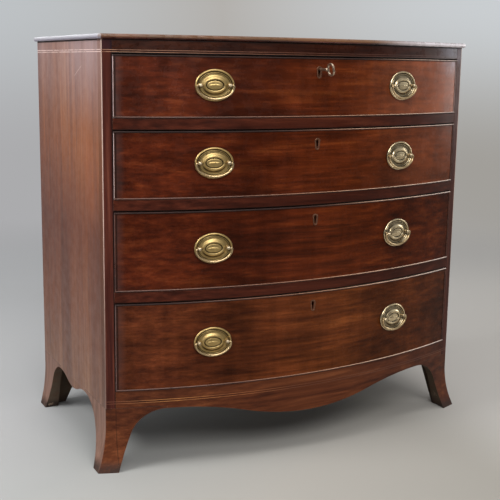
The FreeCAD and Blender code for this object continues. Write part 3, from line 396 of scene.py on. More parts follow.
def rubbed_highlit_corner(n, spot, scuff):
    """1 on the front corners of the case, rubbed pale with a painted highlight, fading towards the feet."""
    across = n.math("SUBTRACT", n.math("ABSOLUTE", spot[0]), HALF)
    deep = n.math("MAXIMUM", n.math("SUBTRACT", spot[1], CORNER_Y), 0.0)
    reach = n.math("SUBTRACT", deep, across)
    return n.product(n.spread(reach, 0.0009, 0.0017, 1.0, 0.0), n.spread(spot[2], 0.2, 0.6, 0.3, 1.0),
                     n.spread(scuff, 0.2, 0.5, 0.35, 0.65))


STILE_DUSK = srgb(34, 26, 36)
STILE_SHEEN = srgb(140, 132, 142)
STILE_SHADE = srgb(48, 32, 26)
STILE_VEIN = srgb(52, 24, 24)
STILE_OUTER_LIGHT = ((0.14, srgb(106, 78, 66)), (0.3, srgb(94, 61, 45)), (0.5, srgb(93, 52, 30)),
              (0.7, srgb(118, 71, 44)), (0.87, srgb(140, 107, 97)))
STILE_INNER = (0.4415, 0.4425)  # painted shade beside the opening is full and ends


def stile_marks(n, colour, scuff):
    """Painted shade, with some grime, beside the drawers and under the top, a painted sheen at the top right,
    the side's painted light on the outer face, and a rubbed outer corner with a painted highlight.
    """
    spot = n.spot()
    side = n.math("ABSOLUTE", spot[0])
    # Painted shade beside the opening and under the top board.
    dirt_and_shade = n.greatest(n.spread(side, *STILE_INNER, 1.0, 0.0), n.spread(spot[2], *UNDER_TOP))
    dirt_and_shade = n.product(dirt_and_shade, n.spread(scuff, 0.2, 0.5, 0.6, 0.9))
    colour = n.mix(dirt_and_shade, colour, GRIME_AND_SHADE)
    dusky = n.product(n.spread(spot[2], 0.886, 0.892), n.spread(spot[0], 0.42, 0.3), 0.6)
    colour = n.mix(dusky, colour, STILE_DUSK)
    # Painted sheen: a pale reflection at the top right.
    sheen = n.product(n.spread(spot[0], 0.4, 0.43), n.spread(spot[2], 0.86, 0.89),
                      n.spread(scuff, 0.3, 0.7, 0.4, 0.8))
    colour = n.mix(sheen, colour, STILE_SHEEN)
    colour = n.mix(n.spread(spot[0], 0.3, 0.44, 0.0, 0.4), colour, STILE_SHADE)
    vein = n.noise(n.coords((160.0, 160.0, 9.0), 4.0), detail=3.0, roughness=0.6)
    colour = n.mix(n.spread(vein, 0.42, 0.66, 0.0, 0.45), colour, STILE_VEIN)
    # The outer face takes the side panel's painted light, changing with height.
    outer = n.spread(n.math("ABSOLUTE", n.facing()[0]), 0.85, 0.95)
    colour = n.mix(n.product(outer, 0.9), colour, n.ramp(spot[2], STILE_OUTER_LIGHT))
    return n.mix(rubbed_highlit_corner(n, spot, scuff), colour, PALE), dirt_and_shade


# Painted light: how light and reflections fall on the side, as tints by height.
SIDE_LIGHT_LEVELS = ((0.1, (0.74, 1.1, 1.6, 1.0)), (0.3, (0.6, 0.61, 0.63, 1.0)), (0.5, (0.49, 0.37, 0.22, 1.0)),
               (0.68, (0.86, 0.84, 0.66, 1.0)), (0.86, (0.82, 0.96, 1.04, 1.0)))
SIDE_SHEEN = srgb(176, 156, 160)
SIDE_WARM = srgb(158, 84, 40)
SIDE_STRIPE = srgb(92, 48, 34)
NICK_SLOPE = 0.45
# Painted shadow under the top board begins and is full.
SIDE_UNDER_TOP = (0.9066, 0.908)


def side_marks(n, colour, scuff):
    """Painted light and reflection change the side with height, a painted sheen lies over the upper part, a
    warmer patch lies in the middle, and one nick shows.
    """
    spot = n.spot()
    colour = n.tinted(colour, n.ramp(spot[2], SIDE_LIGHT_LEVELS))
    cloud = n.noise(n.coords((3.0, 3.0, 1.6)), detail=3.0)
    # Painted sheen: a pale reflection over the upper part, stronger towards the front.
    haze = n.product(n.spread(spot[2], 0.7, 0.93), n.spread(cloud, 0.3, 0.65, 0.3, 0.7),
                     n.spread(spot[1], 0.3, -0.16, 0.5, 1.0))
    colour = n.mix(haze, colour, SIDE_SHEEN)
    warm = n.product(n.spread(cloud, 0.5, 0.68), n.between(spot[2], 0.3, 0.75, 0.1), 0.6)
    colour = n.mix(warm, colour, SIDE_WARM)
    stripe = n.noise(n.coords((30.0, 30.0, 1.4), 7.0), detail=3.0, roughness=0.6)
    colour = n.mix(n.spread(stripe, 0.45, 0.66, 0.0, 0.35), colour, SIDE_STRIPE)
    line = n.math("ADD", n.product(spot[1], NICK_SLOPE), spot[2])
    nick = n.product(n.between(line, 0.8395, 0.8405, 0.0004), n.between(spot[1], -0.035, 0.012, 0.006), 0.6)
    colour = n.mix(nick, colour, PALE)
    # Painted shadow under the top board.
    dirt_and_shade = n.spread(spot[2], *SIDE_UNDER_TOP)
    return n.mix(n.product(dirt_and_shade, 0.9), colour, GRIME_AND_SHADE), dirt_and_shade


FOOT_SIDE_LIT = srgb(144, 111, 96)
FOOT_VEIN = srgb(102, 72, 60)
FOOT_INSIDE = srgb(96, 84, 70)
FOOT_SHADE = srgb(46, 26, 20)
FOOT_SOIL = srgb(58, 46, 42)
FOOT_CHIP = srgb(158, 134, 114)


def foot_marks(n, colour, scuff):
    """Joints between the foot, its corner piece and the apron, outer faces painted paler as lit from the
    side, and grey bare insides.
    """
    spot = n.spot()
    facing = n.facing()
    side = n.math("ABSOLUTE", spot[0])
    outward = n.product(facing[0], n.math("SIGN", spot[0]))
    # Painted light: the outer faces are painted paler, as the side panel is lit.
    aside = n.product(n.spread(outward, 0.55, 0.85), n.spread(side, 0.44, 0.455),
                      n.spread(scuff, 0.3, 0.7, 0.7, 0.95))
    vein = n.noise(n.coords((90.0, 90.0, 8.0), 9.0), detail=3.0, roughness=0.6)
    lit_paler = n.mix(n.spread(vein, 0.4, 0.64, 0.0, 0.6), FOOT_SIDE_LIT, FOOT_VEIN)
    colour = n.mix(aside, colour, lit_paler)
    backward = n.product(n.spread(spot[1], 0.1, 0.2), n.spread(facing[1], -0.4, -0.8))
    inner = n.greatest(n.spread(outward, -0.15, -0.5), backward)
    colour = n.mix(n.product(inner, n.spread(scuff, 0.3, 0.6, 0.6, 0.95)), colour, FOOT_INSIDE)
    colour = n.mix(n.spread(spot[0], 0.1, 0.35, 0.0, 0.2), colour, FOOT_SHADE)
    upright = n.product(n.between(side, 0.4386, 0.4402, 0.0004), n.spread(spot[2], 0.136, 0.14, 1.0, 0.0))
    level = n.product(n.between(spot[2], 0.137, 0.139, 0.0004), n.spread(side, 0.334, 0.336))
    seam = n.product(n.greatest(upright, level), n.spread(scuff, 0.25, 0.6, 0.2, 0.55))
    colour = n.mix(seam, colour, GRIME_AND_SHADE)
    low = n.product(n.spread(spot[2], 0.028, 0.006), n.spread(scuff, 0.3, 0.55, 0.45, 0.95))
    colour = n.mix(low, colour, FOOT_SOIL)
    chips = n.product(n.spread(spot[2], 0.05, 0.02), n.spread(scuff, 0.62, 0.66), 0.6)
    return n.mix(chips, colour, FOOT_CHIP), n.greatest(low, inner)


TOP_SIDE_SHEEN = (srgb(150, 146, 158), srgb(180, 180, 186))
TOP_TAN = srgb(134, 98, 66)
TOP_HIGHLIGHT = srgb(216, 209, 213)
EDGE_REACH = (1.7175, 1.7265)   # squared distance from the bow's centre, on the moulded edge


def top_marks(n, colour, scuff):
    """The moulded edge carries a painted pale reflection at the left side, turns tan along the front, and
    very pale towards the right of the front, a painted highlight.
    """
    spot = n.spot()
    # Painted reflection: the left side of the moulded edge is painted pale.
    lit_paler = n.product(n.spread(spot[0], -0.4612, -0.4625), n.spread(scuff, 0.2, 0.6, 0.7, 0.9))
    paler = n.mix(n.spread(spot[2], 0.9135, 0.9165), *TOP_SIDE_SHEEN)
    colour = n.mix(lit_paler, colour, paler)
    deep = n.math("POWER", n.math("SUBTRACT", spot[1], BOW_CENTRE), 2.0)
    edge = n.spread(n.math("ADD", n.product(spot[0], spot[0]), deep), *EDGE_REACH)
    tan = n.product(edge, n.spread(spot[0], -0.46, 0.1, 0.4, 0.62), n.spread(spot[2], 0.9125, 0.9145))
    colour = n.mix(tan, colour, TOP_TAN)
    # Painted highlight along the front edge towards the right.
    highlight = n.product(edge, n.spread(spot[0], 0.12, 0.34), n.spread(scuff, 0.25, 0.6, 0.8, 0.97))
    return n.mix(highlight, colour, TOP_HIGHLIGHT), n.product(lit_paler, 0.6)


def dress(material, *names):
    for name in names:
        mesh = nodes[name].data
        mesh.materials.clear()
        mesh.materials.append(material)


# For each drawer: the front's tones and shine, how much paler its right end is, how pale the beads' sides are
# painted as a highlight at their left and right ends, and the x at which the painted shade of the upper bead
# has ended.
DRAWER_LOOKS = {
    "1": (FRONT_TONES, 0.25, 0.68, 0.9, 0.7, 0.32),
    "2": (FRONT_TONES, 0.12, 0.3, 0.8, 0.1, 0.1),
    "3": (FRONT_TONES, 0.08, 0.0, 0.1, 0.05, 0.2),
    "4": (LOW_FRONT_LIT_TONES, 0.08, 0.0, 0.2, 0.05, -0.15)}

dress(wood("top_wood", "X", CASE_TONES, 1.0, wear=0.3, edge=0.001, gloss=0.24, shine=0.5, dress_up=top_marks),
      "top_board")
dress(wood("side_wood", "Z", SIDE_LIT_TONES, 2.0, wear=0.2, edge=0.0008, gloss=0.34, shine=0.35, blotch=0.5,
           dress_up=side_marks), "side_left", "side_right", "side_aprons")
dress(wood("stile_wood", "Z", CASE_TONES, 3.0, wear=0.2, edge=0.0008, shine=0.08, dress_up=stile_marks),
      "front_stiles")
dress(wood("frieze_wood", "X", DARK_TONES, 4.0, wear=0.15, gloss=0.24, shine=0.2, dress_up=dirt_shade_and_sheen),
      "top_rail")
dress(wood("rail_wood", "X", RAIL_TONES, 5.0, wear=0.25, shine=0.1, dress_up=dirt_shade_and_sheen), "drawer_rails")
dress(wood("apron_wood", "X", APRON_TONES, 6.0, wear=0.25, gloss=0.4, shine=0.14, dress_up=foot_marks),
      "front_apron", "foot_front_left", "foot_front_right", "foot_rear_left", "foot_rear_right")
for number, (tones, shine, paler, pale_left, pale_right, dark_until) in DRAWER_LOOKS.items():
    seed = int(number)
    front_wood = wood(f"drawer_{number}_wood", "X", tones, 10.0 + 1.7 * seed, wear=0.1, gloss=0.2,
                      shine=shine, dress_up=front_marks(paler, 5.3 * seed))
    bead_wood = wood(f"bead_{number}_wood", "X", BEAD_TONES, 20.0 + seed, wear=0.2, edge=0.0006, gloss=0.26,
                     shine=0.4, dress_up=worn_and_highlit_beads(pale_left, pale_right, dark_until))
    dress(front_wood, f"drawer_{number}_front")
    dress(bead_wood, f"drawer_{number}_cockbead")

oak = wood("oak_lining", "Y", OAK_TONES, 30.0, gloss=0.6, pore_depth=0.0001)
oak_cross = wood("oak_lining_cross", "X", OAK_TONES, 31.0, gloss=0.6, pore_depth=0.0001)
pine = wood("pine_boards", "X", PINE_TONES, 32.0, gloss=0.65)
pine_up = wood("pine_back", "Z", PINE_TONES, 33.0, gloss=0.65)
pine_deep = wood("pine_runners", "Y", PINE_TONES, 34.0, gloss=0.65)
dress(pine, "carcase_top", "dustboards", "drawer_stops")
dress(wood("dusty_underside", "X", DUSTY_TONES, 35.0, gloss=0.8, shine=0.1), "carcase_bottom")
dress(pine_up, "back_boards")
dress(pine_deep, "drawer_runners")
for number in HANDLE_HEIGHTS:
    dress(oak, f"drawer_{number}_sides")
    dress(oak_cross, f"drawer_{number}_back", f"drawer_{number}_bottom")


# ---------------------------------------------------------------- metal

BRASS_SPECK = srgb(84, 66, 38)
BRASS_SOIL_AND_SHADE = srgb(30, 21, 11)
METAL_EDGE = 0.0005
METALLIC = 0.92


def brass(name, bright, dull, gloss, soiled_and_shaded=False, sharp=False):
    """Old lacquered brass, bright where it is rubbed and brown-green in its hollows.

    A flag makes it read the patina and painted shade that the mesh carries, and sharp rounds its edges and
    rubs them bright.
    """
    material, n = new_material(name)
    place = n.coords(WHITE, 2.0)
    cloud = n.noise(place, scale=45.0, detail=3.0)
    speck = n.noise(place, scale=500.0, detail=3.0, roughness=0.6)
    tarnish = n.spread(cloud, 0.35, 0.7, 0.0, 0.45)
    normal = None
    if sharp:
        normal, rim = n.soft_edges(METAL_EDGE)
        tarnish = n.product(tarnish, n.spread(rim, 0.02, 0.2, 1.0, 0.0))
    colour = n.mix(tarnish, bright, dull)
    colour = n.mix(n.spread(speck, 0.6, 0.75, 0.0, 0.2), colour, BRASS_SPECK)
    if soiled_and_shaded:
        # Patina in the hollows, and painted shade, as the mesh carries them.
        soil_and_shade = n.add("ShaderNodeAttribute", attribute_name="soil_and_shade").outputs["Fac"]
        soil_and_shade = n.product(soil_and_shade, n.spread(cloud, 0.2, 0.6, 0.75, 1.0))
        colour = n.mix(soil_and_shade, colour, BRASS_SOIL_AND_SHADE)
        tarnish = n.greatest(tarnish, soil_and_shade)
    roughness = n.math("ADD", n.product(tarnish, 0.12), n.spread(speck, 0.3, 0.8, gloss, gloss + 0.05))
    n.finish(n.principled(colour, roughness, n.bump(speck, 0.000002, normal), Metallic=METALLIC))
    return material


# Lit and shaded copies of one brass: the right plates are painted paler and glossier, with darker low parts,
# for the light and dark reflections they catch; the left ones are painted duller.
left_plate_as_lit = brass("plate_brass_lit_left", srgb(196, 168, 112), srgb(140, 114, 64), 0.36, soiled_and_shaded=True)
right_plate_as_lit = brass("plate_brass_lit_right", srgb(222, 202, 164), srgb(132, 110, 70), 0.16, soiled_and_shaded=True)
bail_brass = brass("bail_brass", srgb(206, 180, 138), srgb(160, 132, 92), 0.24)
post_brass = brass("post_brass", srgb(206, 188, 156), srgb(148, 124, 88), 0.26, sharp=True)
lock_brass = brass("lock_brass", srgb(158, 130, 116), srgb(104, 82, 72), 0.42, sharp=True)
lip_brass = brass("escutcheon_brass", srgb(128, 98, 78), srgb(84, 60, 48), 0.42, sharp=True)
lining_brass = brass("keyhole_lining_brass", srgb(150, 98, 72), srgb(104, 62, 44), 0.55, sharp=True)
key_iron = brass("key_iron", srgb(192, 172, 148), srgb(132, 112, 94), 0.3, sharp=True)


# ---------------------------------------------------------------- mesh helpers

def mesh_piece(name, points, faces, material, smooth=True):
    mesh = bpy.data.meshes.new(name)
    mesh.from_pydata(points, [], faces)
    mesh.validate()
    for polygon in mesh.polygons:
        polygon.use_smooth = smooth
    mesh.materials.append(material)
    return mesh


def turn_outwards(mesh):
    """Make all faces of a closed mesh face outwards."""
    shape = bmesh.new()
    shape.from_mesh(mesh)
    bmesh.ops.recalc_face_normals(shape, faces=shape.faces)
    shape.to_mesh(mesh)
    shape.free()
    return mesh


def circle(steps):
    """Cosine and sine of equal steps round a circle."""
    angles = [2 * math.pi * k / steps for k in range(steps)]
    return [(math.cos(angle), math.sin(angle)) for angle in angles]


def quads(rings, count, closed=False):
    """The faces that join rings of count points; closed joins the last ring to the first."""
    faces = []
    for ring in range(rings if closed else rings - 1):
        here, there = ring * count, (ring + 1) % rings * count
        for k in range(count):
            after = (k + 1) % count
            faces.append((here + k, here + after, there + after, there + k))
    return faces


def ease(value, low, high):
    """0 at low and 1 at high, smoothly."""
    share = min(max((value - low) / (high - low), 0.0), 1.0)
    return share * share * (3 - 2 * share)


def show(name, mesh, body, replaced=(), matrix=None):
    """Put a mesh in the scene, riding on a body, in place of the nodes named in replaced."""
    piece = bpy.data.objects.new(name, mesh)
    bpy.context.scene.collection.objects.link(piece)
    if matrix is not None:
        piece.matrix_world = matrix
    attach(piece, body)
    if replaced:
        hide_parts(*replaced)
    return piece


# ---------------------------------------------------------------- handles

# Half width, half height, relief (mm), and patina with painted shade of the stamped plate's rings, from the
# edge to the middle.
# Values below 0 lie in the lower half alone, a painted shadow under the boss.
PLATE_RINGS = (
    (42.0, 33.0, 0.7, 0.5), (41.8, 32.8, 1.4, 0.2), (41.3, 32.3, 2.2, 0), (40.6, 31.6, 2.9, 0),
    (39.6, 30.6, 3.2, 0), (38.6, 29.6, 2.9, 0), (37.8, 28.8, 2.2, 0.5), (37.3, 28.3, 1.3, 0.9),
    (37.0, 28.0, 0.5, 1.0), (36.6, 27.6, 0.3, 1.0), (36.2, 27.2, 0.4, 1.0), (35.9, 26.9, 1.0, 0.9),
    (35.4, 26.4, 1.7, 0.3), (34.8, 25.8, 1.8, 0), (34.3, 25.3, 1.3, 0.5), (34.0, 25.0, 0.6, 1.0),
    (33.6, 24.6, 0.4, 1.0), (33.2, 24.2, 0.8, 0.9), (32.7, 23.7, 1.2, 0.3), (32.2, 23.2, 1.0, 0.1),
    (31.6, 22.6, 0.9, 0.35), (30.2, 21.6, 0.9, 0.25), (28.6, 20.6, 1.0, -0.2), (27.2, 19.6, 1.3, -0.7),
    (26.0, 18.5, 1.8, -0.9), (25.0, 17.4, 2.6, -0.8), (24.1, 16.3, 3.3, -0.4), (23.2, 15.2, 3.9, 0),
    (22.2, 14.0, 4.3, 0), (21.2, 12.9, 4.4, 0), (20.3, 11.9, 4.2, 0), (19.5, 11.1, 3.7, 0.5),
    (19.0, 10.6, 3.0, 1.0), (18.7, 10.3, 2.3, 1.0), (18.4, 10.0, 2.1, 1.0), (18.1, 9.7, 2.3, 1.0),
    (17.8, 9.4, 2.8, 0.9), (17.2, 9.0, 3.1, 0.4), (16.2, 8.4, 3.3, 0), (15.0, 7.7, 3.45, 0),
    (13.6, 6.9, 3.55, 0), (12.2, 6.1, 3.6, 0), (10.8, 5.3, 3.65, 0), (9.4, 4.5, 3.7, 0),
    (8.0, 3.8, 3.7, 0), (6.6, 3.1, 3.7, 0), (5.2, 2.4, 3.7, 0), (3.8, 1.7, 3.7, 0), (2.4, 1.1, 3.7, 0),
    (1.2, 0.5, 3.7, 0))
PLATE_STEPS = 128
BORDER = 34.0               # the rings of the plate's border are wider than this, mm
LOW_RELIEF = (2.6, 1.4)     # painted shade on the low flat parts begins and is full at these heights, mm
POST_X = 31.5               # the posts' distance from the plate's middle, mm
SEAT_RADIUS = (4.4, 6.0)    # the flat seat of a post, and the end of its slope, mm
SEAT_HEIGHT = 1.0
LEAF_LENGTH, LEAF_WIDTH, LEAF_HEIGHT, LEAF_FALL = 11.0, 2.6, 0.9, 0.35
BEAD_RADIUS, BEAD_HEIGHT = 2.0, 1.2
PLATE_BACK = 0.00002        # the middle of the plate's back, in front of the plate's own plane
PLATE_GAP = 0.00005         # that plane, in front of the drawer front
BAIL_AXIS = 0.0076          # the bail's axis in front of the drawer front
BAIL_SIDES = 20
ARC_STEPS = 16


def motif_height(u, v):
    """A plain leaf lying along the middle of the plate, with a bead at its centre, in mm."""
    along = abs(u) / LEAF_LENGTH
    height = 0.0
    if along < 1:
        width = LEAF_WIDTH * math.sqrt(1 - along * along)
        if abs(v) < width:
            height = LEAF_HEIGHT * math.cos(abs(v) / width * math.pi / 2) * (1 - LEAF_FALL * along)
    reach = math.hypot(u, v)
    if reach < BEAD_RADIUS:
        height = max(height, BEAD_HEIGHT * math.sqrt(1 - (reach / BEAD_RADIUS) ** 2))
    return height


def plate_point(u, v, height):
    """A point of the plate, given in mm, flattened where a post stands."""
    flat = 1 - ease(math.hypot(abs(u) - POST_X, v), *SEAT_RADIUS)
    return u * MM, v * MM, ((height + motif_height(u, v)) * (1 - flat) + SEAT_HEIGHT * flat) * MM


def make_plate_mesh(side, material, ground_shade):
    """A stamped plate; the last argument is how much painted shade its low flat parts carry."""
    steps = PLATE_STEPS
    turns = circle(steps)
    wide, high = PLATE_RINGS[0][:2]
    points = [(wide * c * MM, high * s * MM, -(wide * c) ** 2 / (2 * BOW_RADIUS / MM) * MM) for c, s in turns]
    soil_and_shade = [1.0] * steps
    for wide, high, height, dirt_and_shade in PLATE_RINGS:
        points += [plate_point(wide * c, high * s, height) for c, s in turns]
        # Painted shade on the low flat parts inside the border.
        least = ground_shade * ease(height, *LOW_RELIEF) if wide < BORDER else 0.0
        soil_and_shade += [max(least, dirt_and_shade if dirt_and_shade >= 0 else -dirt_and_shade * ease(-s, -0.1, 0.7)) for c, s in turns]
    faces = quads(len(PLATE_RINGS) + 1, steps)
    middle = len(points)
    points.append(plate_point(0.0, 0.0, PLATE_RINGS[-1][2]))
    inner = len(PLATE_RINGS) * steps
    faces += [(inner + k, inner + (k + 1) % steps, middle) for k in range(steps)]
    points.append((0, 0, PLATE_BACK))
    faces += [((k + 1) % steps, k, middle + 1) for k in range(steps)]
    mesh = mesh_piece(f"handle_plate_{side}", points, faces, material)
    mesh.attributes.new("soil_and_shade", "FLOAT", "POINT").data.foreach_set("value", soil_and_shade + [0.0, 1.0])
    return mesh


def route_points():
    """The bail's centre line at rest, in mm: across, and down from its axis.

    From each post it runs outwards along the pintle, turns down through a tight bend, follows a round
    shoulder, and meets the wide sweep at the bottom.
    """
    pintle, bend, reach, drop, shoulder = 36.1, 2.5, 39.0, 25.7, 19.0
    sweep = ((reach - shoulder) ** 2 + drop ** 2 - shoulder ** 2) / (2 * (drop - shoulder))
    sweep_z = -bend - drop + sweep
    run_x = (shoulder - reach) / (sweep - shoulder)
    run_z = (-bend - sweep_z) / (sweep - shoulder)
    half = [(-33.4, 0.0), (-34.2, 0.0), (-35.0, 0.0), (-pintle, 0.0)]
    for k in range(7):
        angle = math.radians(90 + 15 * k)
        half.append((bend - reach + bend * math.cos(angle), -bend + bend * math.sin(angle)))
    end = math.atan2(run_z, run_x)
    if end > 0:
        end -= 2 * math.pi
    for k in range(1, ARC_STEPS + 1):
        angle = -math.pi + (end + math.pi) * k / ARC_STEPS
        half.append((shoulder - reach + shoulder * math.cos(angle), -bend + shoulder * math.sin(angle)))
    start = math.atan2(half[-1][1] - sweep_z, half[-1][0])
    for k in range(1, ARC_STEPS + 1):
        angle = start + (-math.pi / 2 - start) * k / ARC_STEPS
        half.append((sweep * math.cos(angle), sweep_z + sweep * math.sin(angle)))
    return half + [(-x, z) for x, z in reversed(half[:-1])]


def bail_radius(end, total):
    """The bail's radius in mm, end mm from its nearer end: a thin pintle, then a bow, thickest below."""
    pintle, bow_more, middle_more = 1.38, 0.75, 0.5
    return pintle + bow_more * ease(end, 1.8, 4.2) + middle_more * ease(end, 12.0, total / 2)


def make_bail_mesh():
    path = route_points()
    lengths = [0.0]
    for (x0, z0), (x1, z1) in zip(path, path[1:]):
        lengths.append(lengths[-1] + math.hypot(x1 - x0, z1 - z0))
    total = lengths[-1]
    sides = BAIL_SIDES
    points = []
    for index, (x, z) in enumerate(path):
        before = path[max(index - 1, 0)]
        after = path[min(index + 1, len(path) - 1)]
        tangent = Vector((after[0] - before[0], after[1] - before[1])).normalized()
        across = Vector((-tangent.y, tangent.x))
        radius = bail_radius(min(lengths[index], total - lengths[index]), total)
        for c, s in circle(sides):
            offset = radius * c
            points.append(((x + across.x * offset) * MM, (z + across.y * offset) * MM, radius * s * MM))
    faces = quads(len(path), sides)
    faces.append(tuple(reversed(range(sides))))
    faces.append(tuple(range((len(path) - 1) * sides, len(path) * sides)))
    return turn_outwards(mesh_piece("bail", points, faces, bail_brass))


plate_meshes = {"left": make_plate_mesh("left", left_plate_as_lit, 0.1),
                "right": make_plate_mesh("right", right_plate_as_lit, 0.6)}
bail_mesh = make_bail_mesh()
for number, height in HANDLE_HEIGHTS.items():
    for side, sign in SIDES:
        x = HANDLE_X * sign
        sine = x / BOW_RADIUS
        cosine = math.sqrt(1 - sine * sine)
        wide, up, out = Vector((cosine, sine, 0)), Vector((0, 0, 1)), Vector((sine, -cosine, 0))
        spot = Vector((x, bow_y(x), height))
        turn = Matrix((wide, up, out)).transposed().to_4x4()
        show(f"handle_plate_{number}_{side}", plate_meshes[side], f"drawer_{number}",
             (f"drawer_{number}_handle_plates",), Matrix.Translation(spot + out * PLATE_GAP) @ turn)
        show(f"bail_{number}_{side}_bow", bail_mesh, f"bail_{number}_{side}",
             (f"bail_{number}_{side}",), Matrix.Translation(spot + out * BAIL_AXIS) @ turn)
    dress(post_brass, f"drawer_{number}_handle_posts")
    dress(lock_brass, f"drawer_{number}_lock")
dress(lock_brass, "lock_bolt")
dress(key_iron, "key")


# ---------------------------------------------------------------- stringing

LINE_FLECK = srgb(88, 50, 36)
SIDE_LINE = srgb(232, 204, 196)
PROUD, SUNK = 0.00007, -0.0004      # the strips' outer and inner faces, from the surface
LINE_HALF = 0.00045                 # half a line's width
SIDE_MORE = 0.0002                  # and what the lines on the sides have more
FRONT_STEPS = 96
SIDE_STOPS = (CORNER_Y, 0.0, 0.15, BACK_Y)


def stringing_material(name, stops):
    """Thin pale lines let into the veneer, their colour changing along the front."""
    material, n = new_material(name)
    fleck = n.noise(n.coords((60.0, 60.0, 400.0)), detail=3.0)
    colour = n.ramp(n.share_across(n.spot()[0]), stops)
    colour = n.mix(n.spread(fleck, 0.45, 0.7, 0.0, 0.6), colour, LINE_FLECK)
    n.finish(n.principled(colour, n.spread(fleck, 0.3, 0.8, 0.34, 0.5), n.bump(fleck, 0.00003)))
    return material


def line_mesh(name, path, low, high, material):
    """A thin upright strip along a path of (inner point, outer point) pairs."""
    points = []
    for (x0, y0), (x1, y1) in path:
        points += [(x0, y0, low), (x1, y1, low), (x1, y1, high), (x0, y0, high)]
    last = len(points) - 4
    faces = quads(len(path), 4) + [(3, 2, 1, 0), tuple(range(last, last + 4))]
    return turn_outwards(mesh_piece(name, points, faces, material, smooth=False))


frieze_line = stringing_material("frieze_stringing", (
    (0.0, srgb(178, 138, 112)), (0.25, srgb(138, 94, 70)), (0.6, srgb(84, 52, 40)), (1.0, srgb(66, 44, 38))))
apron_line = stringing_material("apron_stringing", (
    (0.02, srgb(120, 72, 48)), (0.14, srgb(196, 136, 76)), (0.3, srgb(168, 104, 56)),
    (0.5, srgb(84, 46, 28))))
side_line = stringing_material("side_stringing", ((0.0, SIDE_LINE), (1.0, SIDE_LINE)))
FRONT_LINES = (("upper", 0.8888, frieze_line), ("lower", 0.8846, frieze_line),
               ("apron_upper", 0.1530, apron_line), ("apron_lower", 0.1483, apron_line))

for name, height, material in FRONT_LINES:
    run = [-HALF + 2 * HALF * k / FRONT_STEPS for k in range(FRONT_STEPS + 1)]
    path = [((x, bow_y(x, SUNK)), (x, bow_y(x, PROUD))) for x in run]
    low, high = height - LINE_HALF, height + LINE_HALF
    show(f"stringing_front_{name}", line_mesh(f"front_{name}", path, low, high, material),
         "root")
    if material is frieze_line:
        for side, sign in SIDES:
            path = [((sign * (HALF + SUNK), y), (sign * (HALF + PROUD), y)) for y in SIDE_STOPS]
            mesh = line_mesh(f"{side}_{name}", path, low - SIDE_MORE, high + SIDE_MORE, side_line)
            show(f"stringing_{side}_{name}", mesh, "root")


# ---------------------------------------------------------------- keyholes and key

# (growth of the keyhole's outline, y) round the ring's section, outermost first, in mm.
LIP = ((0.6, -244.9), (0.5, -245.6), (0.0, -245.9), (-1.1, -245.8), (-1.25, -245.2))
LINING = ((-1.25, -244.0), (-1.25, -244.6), (-3.0, -244.6), (-3.0, -244.0))
HEAD_RADIUS, FOOT_RADIUS, KEYHOLE_LENGTH = 6.2, 4.4, 14.0
HEAD_STEPS, FOOT_STEPS = 28, 16
LATHE_STEPS = 32
# (y, radius) of the turned collar between the key's ring and its shaft.
COLLAR = ((-0.2795, 0.0016), (-0.2790, 0.0030), (-0.2780, 0.0040), (-0.2768, 0.0042), (-0.2756, 0.0036),
          (-0.2750, 0.0030), (-0.2600, 0.0029), (-0.2540, 0.0031), (-0.2528, 0.0036), (-0.2516, 0.0036),
          (-0.2508, 0.0030), (-0.2480, 0.0029))


def keyhole_outline(growth):
    """Points (x, z) in mm round a keyhole: a round head, and a smaller round foot below it."""
    head, foot = HEAD_RADIUS + growth, FOOT_RADIUS + growth
    lean = math.asin((head - foot) / KEYHOLE_LENGTH)
    arcs = ((head, 0.0, -lean, math.pi + lean, HEAD_STEPS),
            (foot, -KEYHOLE_LENGTH, math.pi + lean, 2 * math.pi - lean, FOOT_STEPS))
    outline = []
    for radius, middle, start, end, count in arcs:
        for k in range(count):
            angle = start + (end - start) * k / (count - 1)
            outline.append((radius * math.cos(angle), middle + radius * math.sin(angle)))
    return outline


def keyhole_ring(name, height, rings, material):
    """A closed ring round a keyhole from (growth, y) pairs."""
    points = []
    for growth, y in rings:
        points += [(x * MM, y * MM, height + z * MM) for x, z in keyhole_outline(growth)]
    faces = quads(len(rings), HEAD_STEPS + FOOT_STEPS, closed=True)
    return turn_outwards(mesh_piece(name, points, faces, material, smooth=False))


def lathe_y(name, profile, material):
    """A turned shape about the Y axis from (y, radius) pairs."""
    steps = LATHE_STEPS
    points = [(radius * c, y, radius * s) for y, radius in profile for c, s in circle(steps)]
    faces = [(a, d, c, b) for a, b, c, d in quads(len(profile), steps)]
    faces.append(tuple(range(steps)))
    faces.append(tuple(reversed(range((len(profile) - 1) * steps, len(profile) * steps))))
    return mesh_piece(name, points, faces, material)


for number, height in KEYHOLE_HEIGHTS.items():
    show(f"escutcheon_lip_{number}", keyhole_ring(f"escutcheon_lip_{number}", height, LIP, lip_brass),
         f"drawer_{number}")
    show(f"keyhole_lining_{number}", keyhole_ring(f"keyhole_lining_{number}", height, LINING, lining_brass),
         f"drawer_{number}")
show("key_collar", lathe_y("key_collar", COLLAR, key_iron), "key",
     matrix=Matrix.Translation((0.0, 0.0, KEYHOLE_HEIGHTS["1"])))


# ---------------------------------------------------------------- studio

FLAT, BEND, WALL = 3.2, 1.4, 3.0    # the floor's radius, the curve's radius and the wall's height
FLOOR_RADII = (0.001, 0.6, 1.4, 2.3, FLAT)
BEND_STEPS, SWEEP_STEPS = 12, 96
OPEN_ABOVE = 5                      # rings of faces from this one on leave the front open
OPEN_TOWARD = 0.62                  # where the cosine of their angle to -Y is above this
